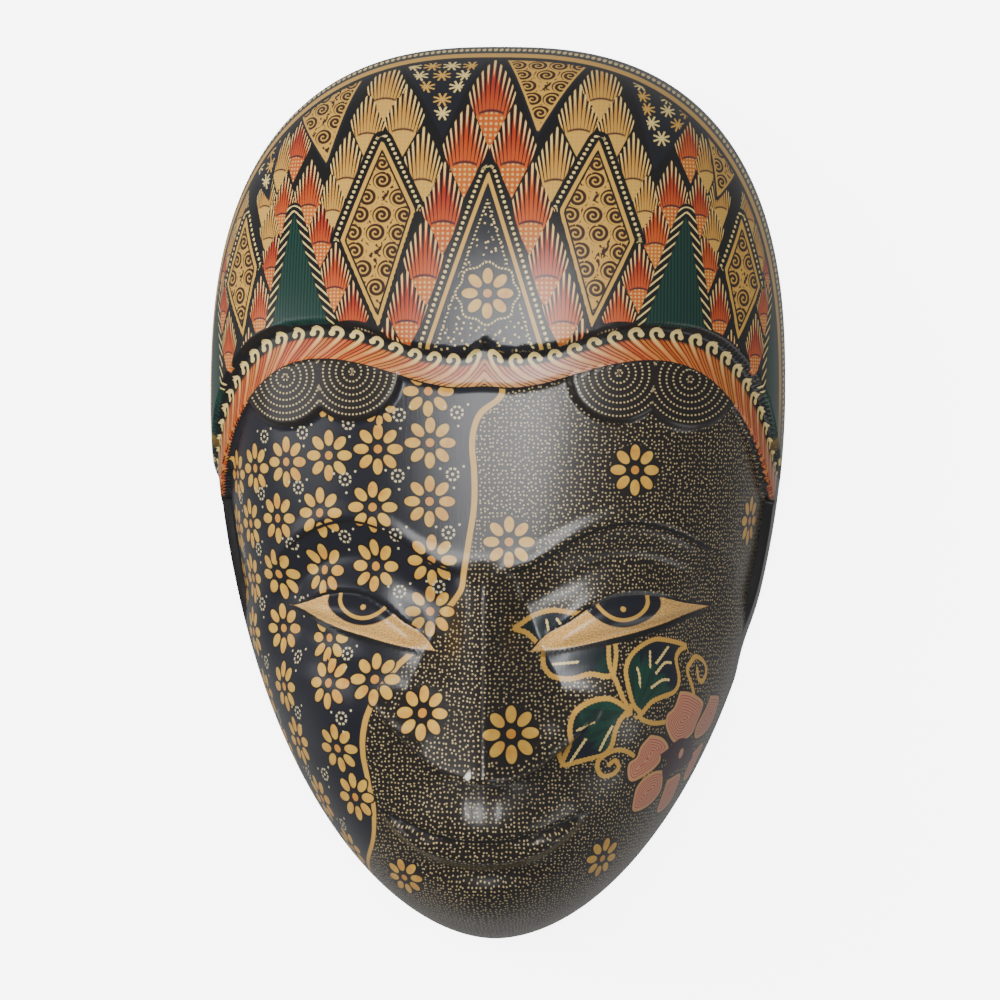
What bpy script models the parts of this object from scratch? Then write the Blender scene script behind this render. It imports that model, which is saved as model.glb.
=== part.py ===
"""Carved wooden mask with a stylised face and a plain crown, hollowed from behind.

One block of light wood is carved as a deep shell. It lies on its flat back rim, with the face up.
X runs across the mask, +Y to the top of its crown and +Z out of the face.
The origin is on the plane of the back rim, in the middle of the mask's box.
"""

import math

import bpy
import numpy as np

# Overall sizes, in metres
HEIGHT = 0.200
WIDTH = 0.128
DOME_DEPTH = 0.058
RIM_WIDTH = 0.009
FRONT_WALL = 0.012

# Carving, in metres above or below the plain dome
CROWN_STEP = 0.0022
BAND_STEP = 0.0008
LOBE_STEP = 0.0010
BROW_RIDGE = 0.0010
SOCKET_DEPTH = 0.0034
EYEBALL_RISE = 0.0020
NOSE_RISE = 0.0200
NOSTRIL_RISE = 0.0036
CHEEK_RISE = 0.0018
UPPER_LIP_RISE = 0.0042
LOWER_LIP_RISE = 0.0036
MOUTH_DEPTH = 0.0030
CHIN_CREASE = 0.0022
CHIN_RISE = 0.0026
TEMPLE_INSET = 0.0020

# The face's proportions are laid out on a grid of the mask's own width and height.
# Half the width is 64 steps and the height is 200 steps, counted from the middle.
HALF_STEPS = 64.0
HEIGHT_STEPS = 200.0

# Outline: two superellipse halves that meet at the widest level
WIDEST_LEVEL = 22.0
CROWN_POWER = 2.6
JAW_POWER = 1.87

# Dome: the profile from the middle of the face to the rim
MIDDLE_LEVEL = -10.0
DOME_POWER = 2.1
CROWN_FULLNESS = 2.8
CHIN_FULLNESS = 5.2

# Lines of the carving: (steps from the middle line, level), each a smooth curve
CROWN_FOOT = ((0, 31.7), (3, 29.9), (9, 29.8), (14, 30.4), (21, 32.6), (30, 35.2), (38, 35.4),
              (45, 34.2), (51, 30.6), (55, 25.6), (58.5, 18), (61, 9), (64, -2))
BAND_FOOT = ((0, 22.4), (7, 22.2), (13, 23.2), (19, 25), (26, 27), (33.5, 28.2), (40, 27.8),
             (45, 26), (51, 21), (55, 15.5), (58.5, 8), (61, 0), (64, -9))
BROW_LINE = ((0, -18), (5, -17.2), (9.3, -16), (14, -13.2), (19.2, -9.6), (24.5, -7.2),
             (30, -6.4), (35, -7.4), (40, -10), (48, -17))
UPPER_LID = ((10.3, -33.6), (12.6, -30.8), (17.7, -27.4), (20.8, -24.9), (24.8, -22.5),
             (30.5, -21.3), (35.5, -21.9), (40, -23.4), (44.5, -24.7))
LOWER_LID = ((10.3, -33.8), (15, -33.4), (20, -32.5), (26, -31), (31.5, -29.6), (37, -27.7),
             (41, -26), (44.5, -24.8))
LOBES = ((28.3, 25.5, 10.4), (43, 24.5, 10.6))

NOSE_TOP = -13.0
NOSE_TIP = -58.5
NOSE_BASE_HALF = 23.0
NOSE_BASE_LIFT = 14.5
NOSE_ROOT_HALF = 4.5
MOUTH_LEVEL = -73.4
MOUTH_HALF = 22.0
MOUTH_SMILE = 5.0
LIP_BOTTOM = -80.6
CHIN_LEVEL = -88.0
TEMPLE_FOOT = -32.0
TEMPLE_FADE = 12.0
TEMPLE_BACK = 0.013
TEMPLE_FRONT = 0.050
FLAP_EDGE = 0.0014
RIM_FADE = 0.034

# Mesh: rings around the middle of the face, then thinned to flat facets
HOLLOW_RINGS = 28
FRONT_STEPS = 4
FACET_SHARE = 0.085
ANGLE_SAMPLES = 720
PROFILE_SAMPLES = 240

WOOD_COLOUR = (0.55, 0.38, 0.22, 1.0)
WOOD_ROUGHNESS = 0.42


def clear_objects():
    """Remove every object of the open scene."""
    for thing in list(bpy.data.objects):
        bpy.data.objects.remove(thing, do_unlink=True)


def ease(low, high, value):
    """Rise smoothly from 0 at low to 1 at high."""
    share = np.clip((value - low) / (high - low), 0.0, 1.0)
    return share * share * (3.0 - 2.0 * share)


def hump(distance, reach):
    """A rounded hump: 1 at no distance and 0 from reach on."""
    share = np.clip(np.abs(distance) / reach, 0.0, 1.0)
    return (1.0 - share * share) ** 2


def curve_level(points, across):
    """Level of a carved line at a place across the face, on a smooth curve through its points."""
    spots = np.array(points, dtype=float)
    places, levels = spots[:, 0], spots[:, 1]
    slopes = np.gradient(levels, places)
    across = np.clip(across, places[0], places[-1])
    index = np.clip(np.searchsorted(places, across, side="right") - 1, 0, len(places) - 2)
    span = places[index + 1] - places[index]
    share = (across - places[index]) / span
    square, cube = share ** 2, share ** 3
    start = (2 * cube - 3 * square + 1) * levels[index]
    start_slope = (cube - 2 * square + share) * span * slopes[index]
    end = (3 * square - 2 * cube) * levels[index + 1]
    end_slope = (cube - square) * span * slopes[index + 1]
    return start + start_slope + end + end_slope


def outline_reach(angle):
    """Distance from the middle of the face to the outline along each angle, in metres."""
    low = np.zeros_like(angle)
    high = np.full_like(angle, HEIGHT)
    for _ in range(40):
        middle = (low + high) / 2
        inside = outline_value(middle * np.cos(angle), middle_y() + middle * np.sin(angle)) < 1.0
        low = np.where(inside, middle, low)
        high = np.where(inside, high, middle)
    return (low + high) / 2


def middle_y():
    """Y of the middle of the face, in metres."""
    return MIDDLE_LEVEL * HEIGHT / HEIGHT_STEPS


def outline_value(x, y):
    """Below 1 inside the mask's outline, above 1 outside it."""
    across = np.abs(x) / (WIDTH / 2)
    level = y * HEIGHT_STEPS / HEIGHT - WIDEST_LEVEL
    crown = across ** CROWN_POWER + (np.abs(level) / (HEIGHT_STEPS / 2 - WIDEST_LEVEL)) ** CROWN_POWER
    jaw = across ** JAW_POWER + (np.abs(level) / (HEIGHT_STEPS / 2 + WIDEST_LEVEL)) ** JAW_POWER
    return np.where(level > 0, crown, jaw)


def fullness(angle):
    """How square the dome's profile is along each angle: rounder at the crown, fuller at the chin."""
    down = ease(0.1, 1.0, -np.sin(angle))
    return CROWN_FULLNESS + (CHIN_FULLNESS - CROWN_FULLNESS) * down


def dome_height(share, angle, depth):
    """Height of a plain dome at a share of the way from the middle to the outline."""
    return depth * np.clip(1.0 - share ** fullness(angle), 0.0, 1.0) ** (1.0 / DOME_POWER)


def nose_relief(across, level):
    """The nose: a long ridge that widens downwards, cut off underneath, with rounded wings."""
    run = np.clip((NOSE_TOP - level) / (NOSE_TOP - NOSE_TIP), 0.0, 1.0)
    base_level = NOSE_TIP - 2.0 + NOSE_BASE_LIFT * (across / NOSE_BASE_HALF) ** 2
    half = NOSE_ROOT_HALF + (NOSE_BASE_HALF - NOSE_ROOT_HALF) * run ** 1.25
    side = np.clip(across / half, 0.0, 1.0)
    ridge = (1.0 - side) ** 1.08 * (1.0 - 0.07 * hump(across, 2.0))
    rise = NOSE_RISE * (0.10 + 0.90 * run ** 1.35) * ease(0.0, 0.16, run)
    cut = ease(-2.4, 0.6, level - base_level)
    wing = NOSTRIL_RISE * hump(np.hypot(across - 17.0, (level + 49.0) / 0.9), 9.0)
    return (rise * ridge + wing) * cut


def eye_relief(across, level):
    """The eye: a socket under the brow with a ball between two lids."""
    brow = curve_level(BROW_LINE, across)
    upper = curve_level(UPPER_LID, across)
    lower = curve_level(LOWER_LID, across)
    under_brow = ease(0.6, -2.6, level - brow)
    above_cheek = ease(-42.0, -29.0, level)
    side = ease(52.0, 42.0, across) * ease(2.0, 9.0, across)
    socket = -SOCKET_DEPTH * under_brow * above_cheek * side
    ridge = BROW_RIDGE * hump(level - brow - 1.6, 3.2) * ease(50.0, 40.0, across)
    gap = np.maximum(upper - lower, 0.01)
    place = np.clip((level - lower) / gap, 0.0, 1.0)
    opening = ease(9.8, 18.0, across) * ease(45.0, 36.0, across)
    ball = EYEBALL_RISE * (4.0 * place * (1.0 - place)) * opening
    lid = EYEBALL_RISE * ease(-0.3, 0.3, level - upper) * ease(5.5, 0.6, level - upper)
    under_lid = 0.7 * EYEBALL_RISE * ease(0.3, -0.3, level - lower) * ease(-4.5, -0.6, level - lower)
    return socket + ridge + ball + (lid + under_lid) * opening


def mouth_relief(across, level):
    """The mouth: a slit that turns up at its corners, under a broad upper lip and over a crescent."""
    part = across / MOUTH_HALF
    slit = MOUTH_LEVEL + MOUTH_SMILE * part ** 2
    bottom = LIP_BOTTOM + 11.5 * np.clip(part, 0.0, 1.1) ** 2
    fall = slit - level
    size = np.maximum(slit - bottom, 0.8)
    corner = ease(1.06, 0.55, part)
    lower_lip = LOWER_LIP_RISE * corner * np.sin(math.pi * np.clip(fall / size, 0.0, 1.0)) ** 0.8
    mound = hump(np.hypot(across / 23.0, (level - MOUTH_LEVEL - 5.0) / 14.0), 1.0)
    upper_lip = UPPER_LIP_RISE * mound * ease(0.9, -0.9, fall)
    groove = -MOUTH_DEPTH * hump(fall, 2.0) * ease(1.04, 0.70, part)
    philtrum = -0.22 * UPPER_LIP_RISE * hump(across, 3.2) * hump(level - MOUTH_LEVEL - 7.5, 7.0)
    return lower_lip + upper_lip + groove + philtrum


def chin_relief(across, level):
    """The chin: a crease under the lower lip and a round ball below it."""
    crease = -CHIN_CREASE * hump(level - LIP_BOTTOM + 1.8 - (across / 9.0) ** 2, 3.0) * hump(across, 20.0)
    ball = CHIN_RISE * hump(np.hypot(across / 15.0, (level - CHIN_LEVEL) / 8.5), 1.0)
    return crease + ball


def relief(x, y, z):
    """Carved height above the plain dome, in metres, for points of the dome."""
    across = np.abs(x) * HALF_STEPS / (WIDTH / 2)
    level = y * HEIGHT_STEPS / HEIGHT
    off_rim = ease(0.0, RIM_FADE, z)
    crown = CROWN_STEP * off_rim * ease(-0.9, 0.9, level - curve_level(CROWN_FOOT, across))
    band = BAND_STEP * off_rim * ease(-0.8, 0.8, level - curve_level(BAND_FOOT, across))
    nearest = np.full_like(across, HEIGHT_STEPS)
    for place, lobe_level, radius in LOBES:
        nearest = np.minimum(nearest, np.hypot(across - place, level - lobe_level) - radius)
    lobes = LOBE_STEP * ease(0.8, -0.8, nearest) * ease(0.8, -0.8, level - curve_level(BAND_FOOT, across))
    cheek = CHEEK_RISE * hump(np.hypot((across - 27.0) / 15.0, (level + 48.0) / 13.0), 1.0)
    under_band = ease(0.8, -0.8, level - curve_level(BAND_FOOT, across))
    temple = under_band * ease(TEMPLE_FOOT, TEMPLE_FOOT + TEMPLE_FADE, level)
    off_flap = ease(TEMPLE_BACK - FLAP_EDGE, TEMPLE_BACK, z) * ease(TEMPLE_FRONT, TEMPLE_BACK, z)
    inset = -TEMPLE_INSET * temple * off_flap
    return (crown + band + lobes + cheek + inset + nose_relief(across, level)
            + eye_relief(across, level) + mouth_relief(across, level) + chin_relief(across, level))


def even_profile(depth, inset):
    """For each angle, the shares of the way out that cut the dome's profile into equal lengths."""
    angles = np.linspace(-math.pi, math.pi, ANGLE_SAMPLES + 1)
    reach = outline_reach(angles) - inset
    lean = np.linspace(0.0, math.pi / 2, PROFILE_SAMPLES + 1)
    shares = np.sin(lean) ** (1.0 / 1.4)
    heights = dome_height(shares[None, :], angles[:, None], depth)
    steps = np.hypot(np.diff(shares)[None, :] * reach[:, None], np.diff(heights, axis=1))
    lengths = np.concatenate([np.zeros((len(angles), 1)), np.cumsum(steps, axis=1)], axis=1)
    return angles, reach, shares, lengths / lengths[:, -1:]


def ring_angles(count, angles, reach):
    """Angles of a ring's points, evenly spread along the outline."""
    x, y = reach * np.cos(angles), reach * np.sin(angles)
    run = np.concatenate([[0.0], np.cumsum(np.hypot(np.diff(x), np.diff(y)))])
    wanted = (np.arange(count) + 0.0) / count * run[-1]
    return np.interp(wanted, run, angles)


def dome_points(rings, depth, inset):
    """Points of a dome: one in the middle, then rings of 8, 16, 24 and so on, out to the rim."""
    angles, reach, shares, lengths = even_profile(depth, inset)
    all_x, all_y, all_z = [np.zeros(1)], [np.full(1, middle_y())], [np.full(1, depth)]
    for ring in range(1, rings + 1):
        angle = ring_angles(8 * ring, angles, reach)
        column = np.clip(np.round((angle + math.pi) / (2 * math.pi) * ANGLE_SAMPLES), 0, ANGLE_SAMPLES)
        share = np.array([np.interp(ring / rings, lengths[int(row)], shares) for row in column])
        distance = np.interp(angle, angles, reach) * share
        all_x.append(distance * np.cos(angle))
        all_y.append(middle_y() + distance * np.sin(angle))
        all_z.append(dome_height(share, angle, depth))
    return np.concatenate(all_x), np.concatenate(all_y), np.concatenate(all_z)


def ring_start(ring):
    """Index of the first point of a ring."""
    return 0 if ring == 0 else 1 + 4 * ring * (ring - 1)


def dome_faces(rings):
    """Triangles between a dome's rings, seen counter-clockwise from outside."""
    faces = []
    for ring in range(1, rings + 1):
        inner, outer = ring_start(ring - 1), ring_start(ring)
        inner_count, outer_count = max(8 * (ring - 1), 1), 8 * ring
        for sector in range(8):
            for step in range(ring):
                here = outer + sector * ring + step
                after = outer + (sector * ring + step + 1) % outer_count
                below = inner + (sector * (ring - 1) + step) % inner_count
                faces.append((below, here, after))
                if step < ring - 1:
                    beside = inner + (sector * (ring - 1) + step + 1) % inner_count
                    faces.append((below, after, beside))
    return faces


def surface_normals(points, faces):
    """Unit normals of a triangle mesh at its points."""
    corners = points[np.array(faces)]
    normal = np.cross(corners[:, 1] - corners[:, 0], corners[:, 2] - corners[:, 0])
    total = np.zeros_like(points)
    for corner in range(3):
        np.add.at(total, np.array(faces)[:, corner], normal)
    return total / np.linalg.norm(total, axis=1, keepdims=True)


def rim_faces(front_rim, hollow_rim):
    """Triangles of the flat back rim, from the fine front edge to the coarser hollow edge."""
    faces = []
    around = 8 * HOLLOW_RINGS
    for step in range(around):
        inner = hollow_rim + step
        inner_after = hollow_rim + (step + 1) % around
        first = step * FRONT_STEPS
        for part in range(FRONT_STEPS):
            here = front_rim + first + part
            after = front_rim + (first + part + 1) % (around * FRONT_STEPS)
            faces.append((here, inner, after))
        faces.append((after, inner, inner_after))
    return faces


def carved_shell():
    """Points and faces of the whole shell: carved front, flat back rim and plain hollow."""
    front_rings = HOLLOW_RINGS * FRONT_STEPS
    x, y, z = dome_points(front_rings, DOME_DEPTH, 0.0)
    faces = dome_faces(front_rings)
    front = np.column_stack([x, y, z])
    normals = surface_normals(front, faces)
    rim = ring_start(front_rings)
    normals[rim:, 2] = 0.0
    normals /= np.linalg.norm(normals, axis=1, keepdims=True)
    front = front + normals * relief(x, y, z)[:, None]
    hollow = np.column_stack(dome_points(HOLLOW_RINGS, DOME_DEPTH - FRONT_WALL, RIM_WIDTH))
    count = len(front)
    faces += [tuple(count + corner for corner in reversed(face)) for face in dome_faces(HOLLOW_RINGS)]
    faces += rim_faces(rim, count + ring_start(HOLLOW_RINGS))
    return np.concatenate([front, hollow]), faces


def thin_facets(mask):
    """Thin the mesh to few facets and lay the back rim flat again."""
    thinning = mask.modifiers.new("few_facets", "DECIMATE")
    thinning.ratio = FACET_SHARE
    view = bpy.context.evaluated_depsgraph_get()
    mesh = bpy.data.meshes.new_from_object(mask.evaluated_get(view))
    mask.modifiers.clear()
    mask.data = mesh
    for vertex in mesh.vertices:
        if vertex.co.z < 0.0004:
            vertex.co.z = 0.0


def wood_material():
    """Painted and lacquered wood."""
    wood = bpy.data.materials.new("painted_wood")
    wood.use_nodes = True
    shader = wood.node_tree.nodes["Principled BSDF"]
    shader.inputs["Base Color"].default_value = WOOD_COLOUR
    shader.inputs["Roughness"].default_value = WOOD_ROUGHNESS
    shader.inputs["Metallic"].default_value = 0.0
    return wood


def carved_mask():
    """The mask: one carved block, as one object."""
    points, faces = carved_shell()
    mesh = bpy.data.meshes.new("carved_mask")
    mesh.from_pydata([tuple(point) for point in points], [], faces)
    mesh.validate()
    mask = bpy.data.objects.new("carved_mask", mesh)
    bpy.context.scene.collection.objects.link(mask)
    thin_facets(mask)
    mask.data.materials.append(wood_material())
    mask.data.shade_smooth()
    return mask


clear_objects()
carved_mask()
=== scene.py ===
"""Batik wooden mask: the carved shell, its painted patterns and the plain studio it lies in.

The mask lies on its flat back rim with the face up. X runs across it, +Y to the top of its crown
and +Z out of the face. Patterns are laid out in millimetres on a chart, an unrolled map of the
front: across the mask from its middle line, and along it from the middle of its height.
"""
from __future__ import annotations

import logging
import math
from dataclasses import dataclass, field
from enum import Enum

import bpy
import numpy as np
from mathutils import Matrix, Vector


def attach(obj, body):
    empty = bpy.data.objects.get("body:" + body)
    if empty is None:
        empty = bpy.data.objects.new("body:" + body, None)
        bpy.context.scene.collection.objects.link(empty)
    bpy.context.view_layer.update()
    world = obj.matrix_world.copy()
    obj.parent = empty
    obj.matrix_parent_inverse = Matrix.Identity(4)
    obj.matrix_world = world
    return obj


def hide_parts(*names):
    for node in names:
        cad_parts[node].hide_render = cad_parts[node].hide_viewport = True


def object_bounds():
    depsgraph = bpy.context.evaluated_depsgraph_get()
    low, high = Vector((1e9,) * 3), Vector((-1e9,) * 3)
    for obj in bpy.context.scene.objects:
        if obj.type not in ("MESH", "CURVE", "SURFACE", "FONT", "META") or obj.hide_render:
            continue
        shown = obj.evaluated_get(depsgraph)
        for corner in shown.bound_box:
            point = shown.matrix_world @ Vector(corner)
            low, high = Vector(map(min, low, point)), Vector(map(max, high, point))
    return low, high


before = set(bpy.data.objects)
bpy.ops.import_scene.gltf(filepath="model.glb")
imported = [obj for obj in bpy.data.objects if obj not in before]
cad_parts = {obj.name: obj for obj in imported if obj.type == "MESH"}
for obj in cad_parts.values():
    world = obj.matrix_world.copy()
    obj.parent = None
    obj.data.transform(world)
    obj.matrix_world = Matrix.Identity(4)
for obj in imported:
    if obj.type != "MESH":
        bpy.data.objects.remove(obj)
CAD_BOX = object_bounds()

LOG = logging.getLogger("mask")
MM = 0.001
BARE = -999.0
BLANK = (0.0, 0.0, 0.0, 1.0)
HALF_STEPS = 64.0
HEIGHT_STEPS = 200.0

Array = np.ndarray
Pair = tuple[float, float]
Curve = tuple[Pair, ...]
Colour = tuple[float, float, float, float]
Socket = bpy.types.NodeSocket


def ease(low: float, high: float, value: Array) -> Array:
    """Rise smoothly from 0 at low to 1 at high."""
    share = np.clip((value - low) / (high - low), 0.0, 1.0)
    return share * share * (3.0 - 2.0 * share)


def hump(distance: Array, reach: float) -> Array:
    """A rounded hump: 1 at no distance and 0 from reach on."""
    share = np.clip(np.abs(distance) / reach, 0.0, 1.0)
    return (1.0 - share * share) ** 2


def line_level(points: Curve, across: Array) -> Array:
    """Level of a carved line at a place across the mask.

    Args:
        points: Places and levels that the line runs through.
        across: Places at which the level is wanted.

    Returns:
        The levels, on a smooth curve through the points.
    """
    spots = np.array(points, dtype=float)
    places, levels = spots[:, 0], spots[:, 1]
    slopes = np.gradient(levels, places)
    across = np.clip(across, places[0], places[-1])
    index = np.clip(np.searchsorted(places, across, side="right") - 1, 0, len(places) - 2)
    span = places[index + 1] - places[index]
    share = (across - places[index]) / span
    square, cube = share ** 2, share ** 3
    start = (2 * cube - 3 * square + 1) * levels[index]
    start_slope = (cube - 2 * square + share) * span * slopes[index]
    end = (3 * square - 2 * cube) * levels[index + 1]
    end_slope = (cube - square) * span * slopes[index + 1]
    return start + start_slope + end + end_slope


@dataclass(frozen=True)
class Carving:
    """Sizes and lines of the carved form, as the wood block has them.

    Lengths are in metres. Lines are in steps: half the width is 64 and the height is 200.
    """

    height: float = 0.200
    width: float = 0.128
    dome_depth: float = 0.058
    rim_width: float = 0.009
    front_wall: float = 0.012
    crown_step: float = 0.0022
    band_step: float = 0.0008
    lobe_step: float = 0.0010
    brow_ridge: float = 0.0004
    socket_depth: float = 0.0034
    eyeball_rise: float = 0.0020
    nose_rise: float = 0.0195
    wing_rise: float = 0.0036
    cheek_rise: float = 0.0018
    upper_lip_rise: float = 0.0042
    lower_lip_rise: float = 0.0036
    mouth_depth: float = 0.0009
    chin_crease: float = 0.0020
    chin_rise: float = 0.0016
    temple_inset: float = 0.0020
    widest_level: float = 22.0
    crown_power: float = 2.6
    jaw_power: float = 1.87
    middle_level: float = -10.0
    dome_power: float = 2.1
    crown_fullness: float = 2.8
    chin_fullness: float = 5.2
    nose_top: float = -13.0
    nose_tip: float = -57.3
    nose_lean: float = 1.2
    nose_round: float = 1.0
    nose_root_half: float = 4.5
    nose_base_half: float = 23.0
    nose_base_lift: float = 14.5
    nose_flare: float = 1.25
    nose_climb: float = 1.35
    nose_side: float = 1.08
    wing: tuple[float, float, float] = (17.0, -49.0, 9.0)
    wing_squash: float = 0.9
    cheek: Pair = (27.0, -48.0)
    cheek_reach: Pair = (15.0, 13.0)
    chin_reach: Pair = (15.0, 8.5)
    lip_mound: Pair = (23.0, 12.5)
    lip_turn: float = 11.5
    dip_share: float = 0.14
    mouth_level: float = -73.4
    mouth_half: float = 22.0
    mouth_smile: float = 5.0
    lip_bottom: float = -80.6
    chin_level: float = -88.0
    temple_foot: float = -32.0
    temple_fade: float = 12.0
    temple_back: float = 0.013
    temple_front: float = 0.050
    flap_edge: float = 0.0009
    rim_fade: float = 0.034
    soft: float = 0.55
    right_eye: Curve = ((0, 0), (10.3, 10.3), (24, 22.4), (38, 34.8), (44.5, 40), (51, 44.6),
                        (57, 50), (64, 57))
    lobes: tuple[tuple[float, float, float], ...] = ((28.3, 25.5, 10.4), (43.0, 24.5, 10.6))
    crown_foot: Curve = ((0, 31.7), (3, 29.9), (9, 29.8), (14, 30.4), (21, 32.6), (30, 35.2),
                         (38, 35.4), (45, 34.2), (51, 30.6), (55, 25.6), (58.5, 18), (61, 9),
                         (64, -2))
    band_foot: Curve = ((0, 22.4), (7, 22.2), (13, 23.2), (19, 25), (26, 27), (33.5, 28.2),
                        (40, 27.8), (45, 26), (51, 21), (55, 15.5), (58.5, 8), (61, 0), (64, -9))
    brow_line: Curve = ((0, -18), (5, -17.2), (9.3, -16), (14, -13.2), (19.2, -9.6),
                        (24.5, -7.2), (30, -6.4), (35, -7.4), (40, -10), (48, -17))
    upper_lid: Curve = ((10.3, -33.6), (12.6, -30.8), (17.7, -27.4), (20.8, -24.9),
                        (24.8, -22.5), (30.5, -21.3), (35.5, -21.9), (40, -23.4), (44.5, -24.7))
    lower_lid: Curve = ((10.3, -33.8), (15, -33.4), (20, -32.5), (26, -31), (31.5, -29.6),
                        (37, -27.7), (41, -26), (44.5, -24.8))

    @property
    def middle_y(self) -> float:
        """Y of the middle of the face, in metres."""
        return self.middle_level * self.height / HEIGHT_STEPS

    def outline_value(self, x: Array, y: Array) -> Array:
        """Below 1 inside the outline and above 1 outside it.

        Args:
            x: Places across.
            y: Places along.

        Returns:
            A value for each place.
        """
        across = np.abs(x) / (self.width / 2)
        level = y * HEIGHT_STEPS / self.height - self.widest_level
        up = np.abs(level) / (HEIGHT_STEPS / 2 - self.widest_level)
        down = np.abs(level) / (HEIGHT_STEPS / 2 + self.widest_level)
        crown = across ** self.crown_power + up ** self.crown_power
        jaw = across ** self.jaw_power + down ** self.jaw_power
        return np.where(level > 0, crown, jaw)

    def outline_reach(self, angle: Array) -> Array:
        """Distance from the middle of the face to the outline along each angle.

        Args:
            angle: Directions round the middle of the face.

        Returns:
            Distances, in metres.
        """
        low, high = np.zeros_like(angle), np.full_like(angle, self.height)
        for _ in range(40):
            half = (low + high) / 2
            x, y = half * np.cos(angle), self.middle_y + half * np.sin(angle)
            inside = self.outline_value(x, y) < 1.0
            low, high = np.where(inside, half, low), np.where(inside, high, half)
        return (low + high) / 2

    def half_width(self, y: Array) -> Array:
        """Half the width of the outline at each level, in metres.

        Args:
            y: Places along.

        Returns:
            A half width for each place.
        """
        level = y * HEIGHT_STEPS / self.height - self.widest_level
        up = np.clip(level / (HEIGHT_STEPS / 2 - self.widest_level), 0.0, 1.0)
        down = np.clip(-level / (HEIGHT_STEPS / 2 + self.widest_level), 0.0, 1.0)
        crown = (1.0 - up ** self.crown_power) ** (1.0 / self.crown_power)
        jaw = (1.0 - down ** self.jaw_power) ** (1.0 / self.jaw_power)
        return self.width / 2 * np.where(level > 0, crown, jaw)

    def dome_height(self, share: Array, angle: Array, depth: float) -> Array:
        """Height of a plain dome at a share of the way from the middle to the outline.

        Args:
            share: Shares of the way to the outline.
            angle: Directions round the middle of the face.
            depth: The dome's depth, in metres.

        Returns:
            Heights.
        """
        down = ease(0.1, 1.0, -np.sin(angle))
        fullness = self.crown_fullness + (self.chin_fullness - self.crown_fullness) * down
        return depth * np.clip(1.0 - share ** fullness, 0.0, 1.0) ** (1.0 / self.dome_power)

    def eye_steps(self, x: Array, across: Array) -> Array:
        """Steps across for the eyes' lines, drawn out on the right side, where the eye is longer."""
        return np.where(x > 0.0, line_level(self.right_eye, across), across)

    def nose_steps(self, x: Array, level: Array) -> Array:
        """Steps across from the nose's ridge, which is rounded and leans right as it comes down.

        Args:
            x: Places across.
            level: Levels, in steps.

        Returns:
            Steps from the ridge, on either side of it.
        """
        run = np.clip((self.nose_top - level) / (self.nose_top - self.nose_tip), 0.0, 1.0)
        beside = x * HALF_STEPS / (self.width / 2) - self.nose_lean * run
        return np.hypot(beside, self.nose_round) - self.nose_round

    def nose(self, across: Array, level: Array) -> Array:
        """Rise of the nose: a ridge that widens downwards, cut off underneath.

        Args:
            across: Steps from the nose's ridge.
            level: Levels, in steps.

        Returns:
            Heights.
        """
        run = np.clip((self.nose_top - level) / (self.nose_top - self.nose_tip), 0.0, 1.0)
        base = self.nose_tip - 2.0 + self.nose_base_lift * (across / self.nose_base_half) ** 2
        half = self.nose_root_half + (self.nose_base_half - self.nose_root_half) * run ** self.nose_flare
        side = np.clip(across / half, 0.0, 1.0)
        ridge = (1.0 - side) ** self.nose_side
        rise = self.nose_rise * (0.10 + 0.90 * run ** self.nose_climb) * ease(0.0, 0.16, run)
        place, middle, reach = self.wing
        away = np.hypot(across - place, (level - middle) / self.wing_squash)
        wing = self.wing_rise * hump(away, reach)
        return (rise * ridge + wing) * ease(-1.9, 0.5, level - base)

    def eye(self, across: Array, level: Array) -> Array:
        """Relief of an eye: a socket under the brow with a ball between two lids.

        Args:
            across: Steps from the middle line.
            level: Levels, in steps.

        Returns:
            Heights.
        """
        brow = line_level(self.brow_line, across)
        upper = line_level(self.upper_lid, across)
        lower = line_level(self.lower_lid, across)
        sides = ease(52.0, 42.0, across) * ease(2.0, 9.0, across)
        under_brow = 0.28 * ease(0.3, -0.5, level - brow) + 0.72 * ease(-0.4, -8.0, level - brow)
        socket = under_brow * ease(-42.0, -29.0, level) * sides
        ridge = hump(level - brow - 1.3, 3.2) * ease(50.0, 40.0, across) * ease(0.0, 5.0, across)
        place = np.clip((level - lower) / np.maximum(upper - lower, 0.01), 0.0, 1.0)
        opening = ease(9.8, 18.0, across) * ease(45.0, 36.0, across)
        ball = 4.0 * place * (1.0 - place)
        lid = 0.6 * ease(-0.4, 0.4, level - upper) * ease(8.0, 0.6, level - upper)
        under_lid = 0.4 * ease(0.4, -0.4, level - lower) * ease(-6.0, -0.6, level - lower)
        return (self.brow_ridge * ridge - self.socket_depth * socket
                + self.eyeball_rise * (ball + lid + under_lid) * opening)

    def mouth(self, across: Array, level: Array) -> Array:
        """Relief of the mouth: a slit that turns up, under a broad lip and over a crescent.

        Args:
            across: Steps from the middle line.
            level: Levels, in steps.

        Returns:
            Heights.
        """
        part = across / self.mouth_half
        slit = self.mouth_level + self.mouth_smile * part ** 2
        bottom = self.lip_bottom + self.lip_turn * np.clip(part, 0.0, 1.1) ** 2
        fall = slit - level
        place = np.clip(fall / np.maximum(slit - bottom, 0.8), 0.0, 1.0)
        lower = self.lower_lip_rise * ease(1.06, 0.55, part) * np.sin(math.pi * place) ** 1.1
        wide, tall = self.lip_mound
        mound = hump(np.hypot(across / wide, (level - self.mouth_level - 1.0) / tall), 1.0)
        upper = self.upper_lip_rise * mound * ease(2.6, -0.5, fall)
        groove = -self.mouth_depth * hump(fall, 0.9) * ease(1.04, 0.70, part)
        dip = hump(across, 4.0) * hump(level - self.mouth_level - 6.0, 8.5)
        return lower + upper + groove - self.dip_share * self.upper_lip_rise * dip

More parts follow.
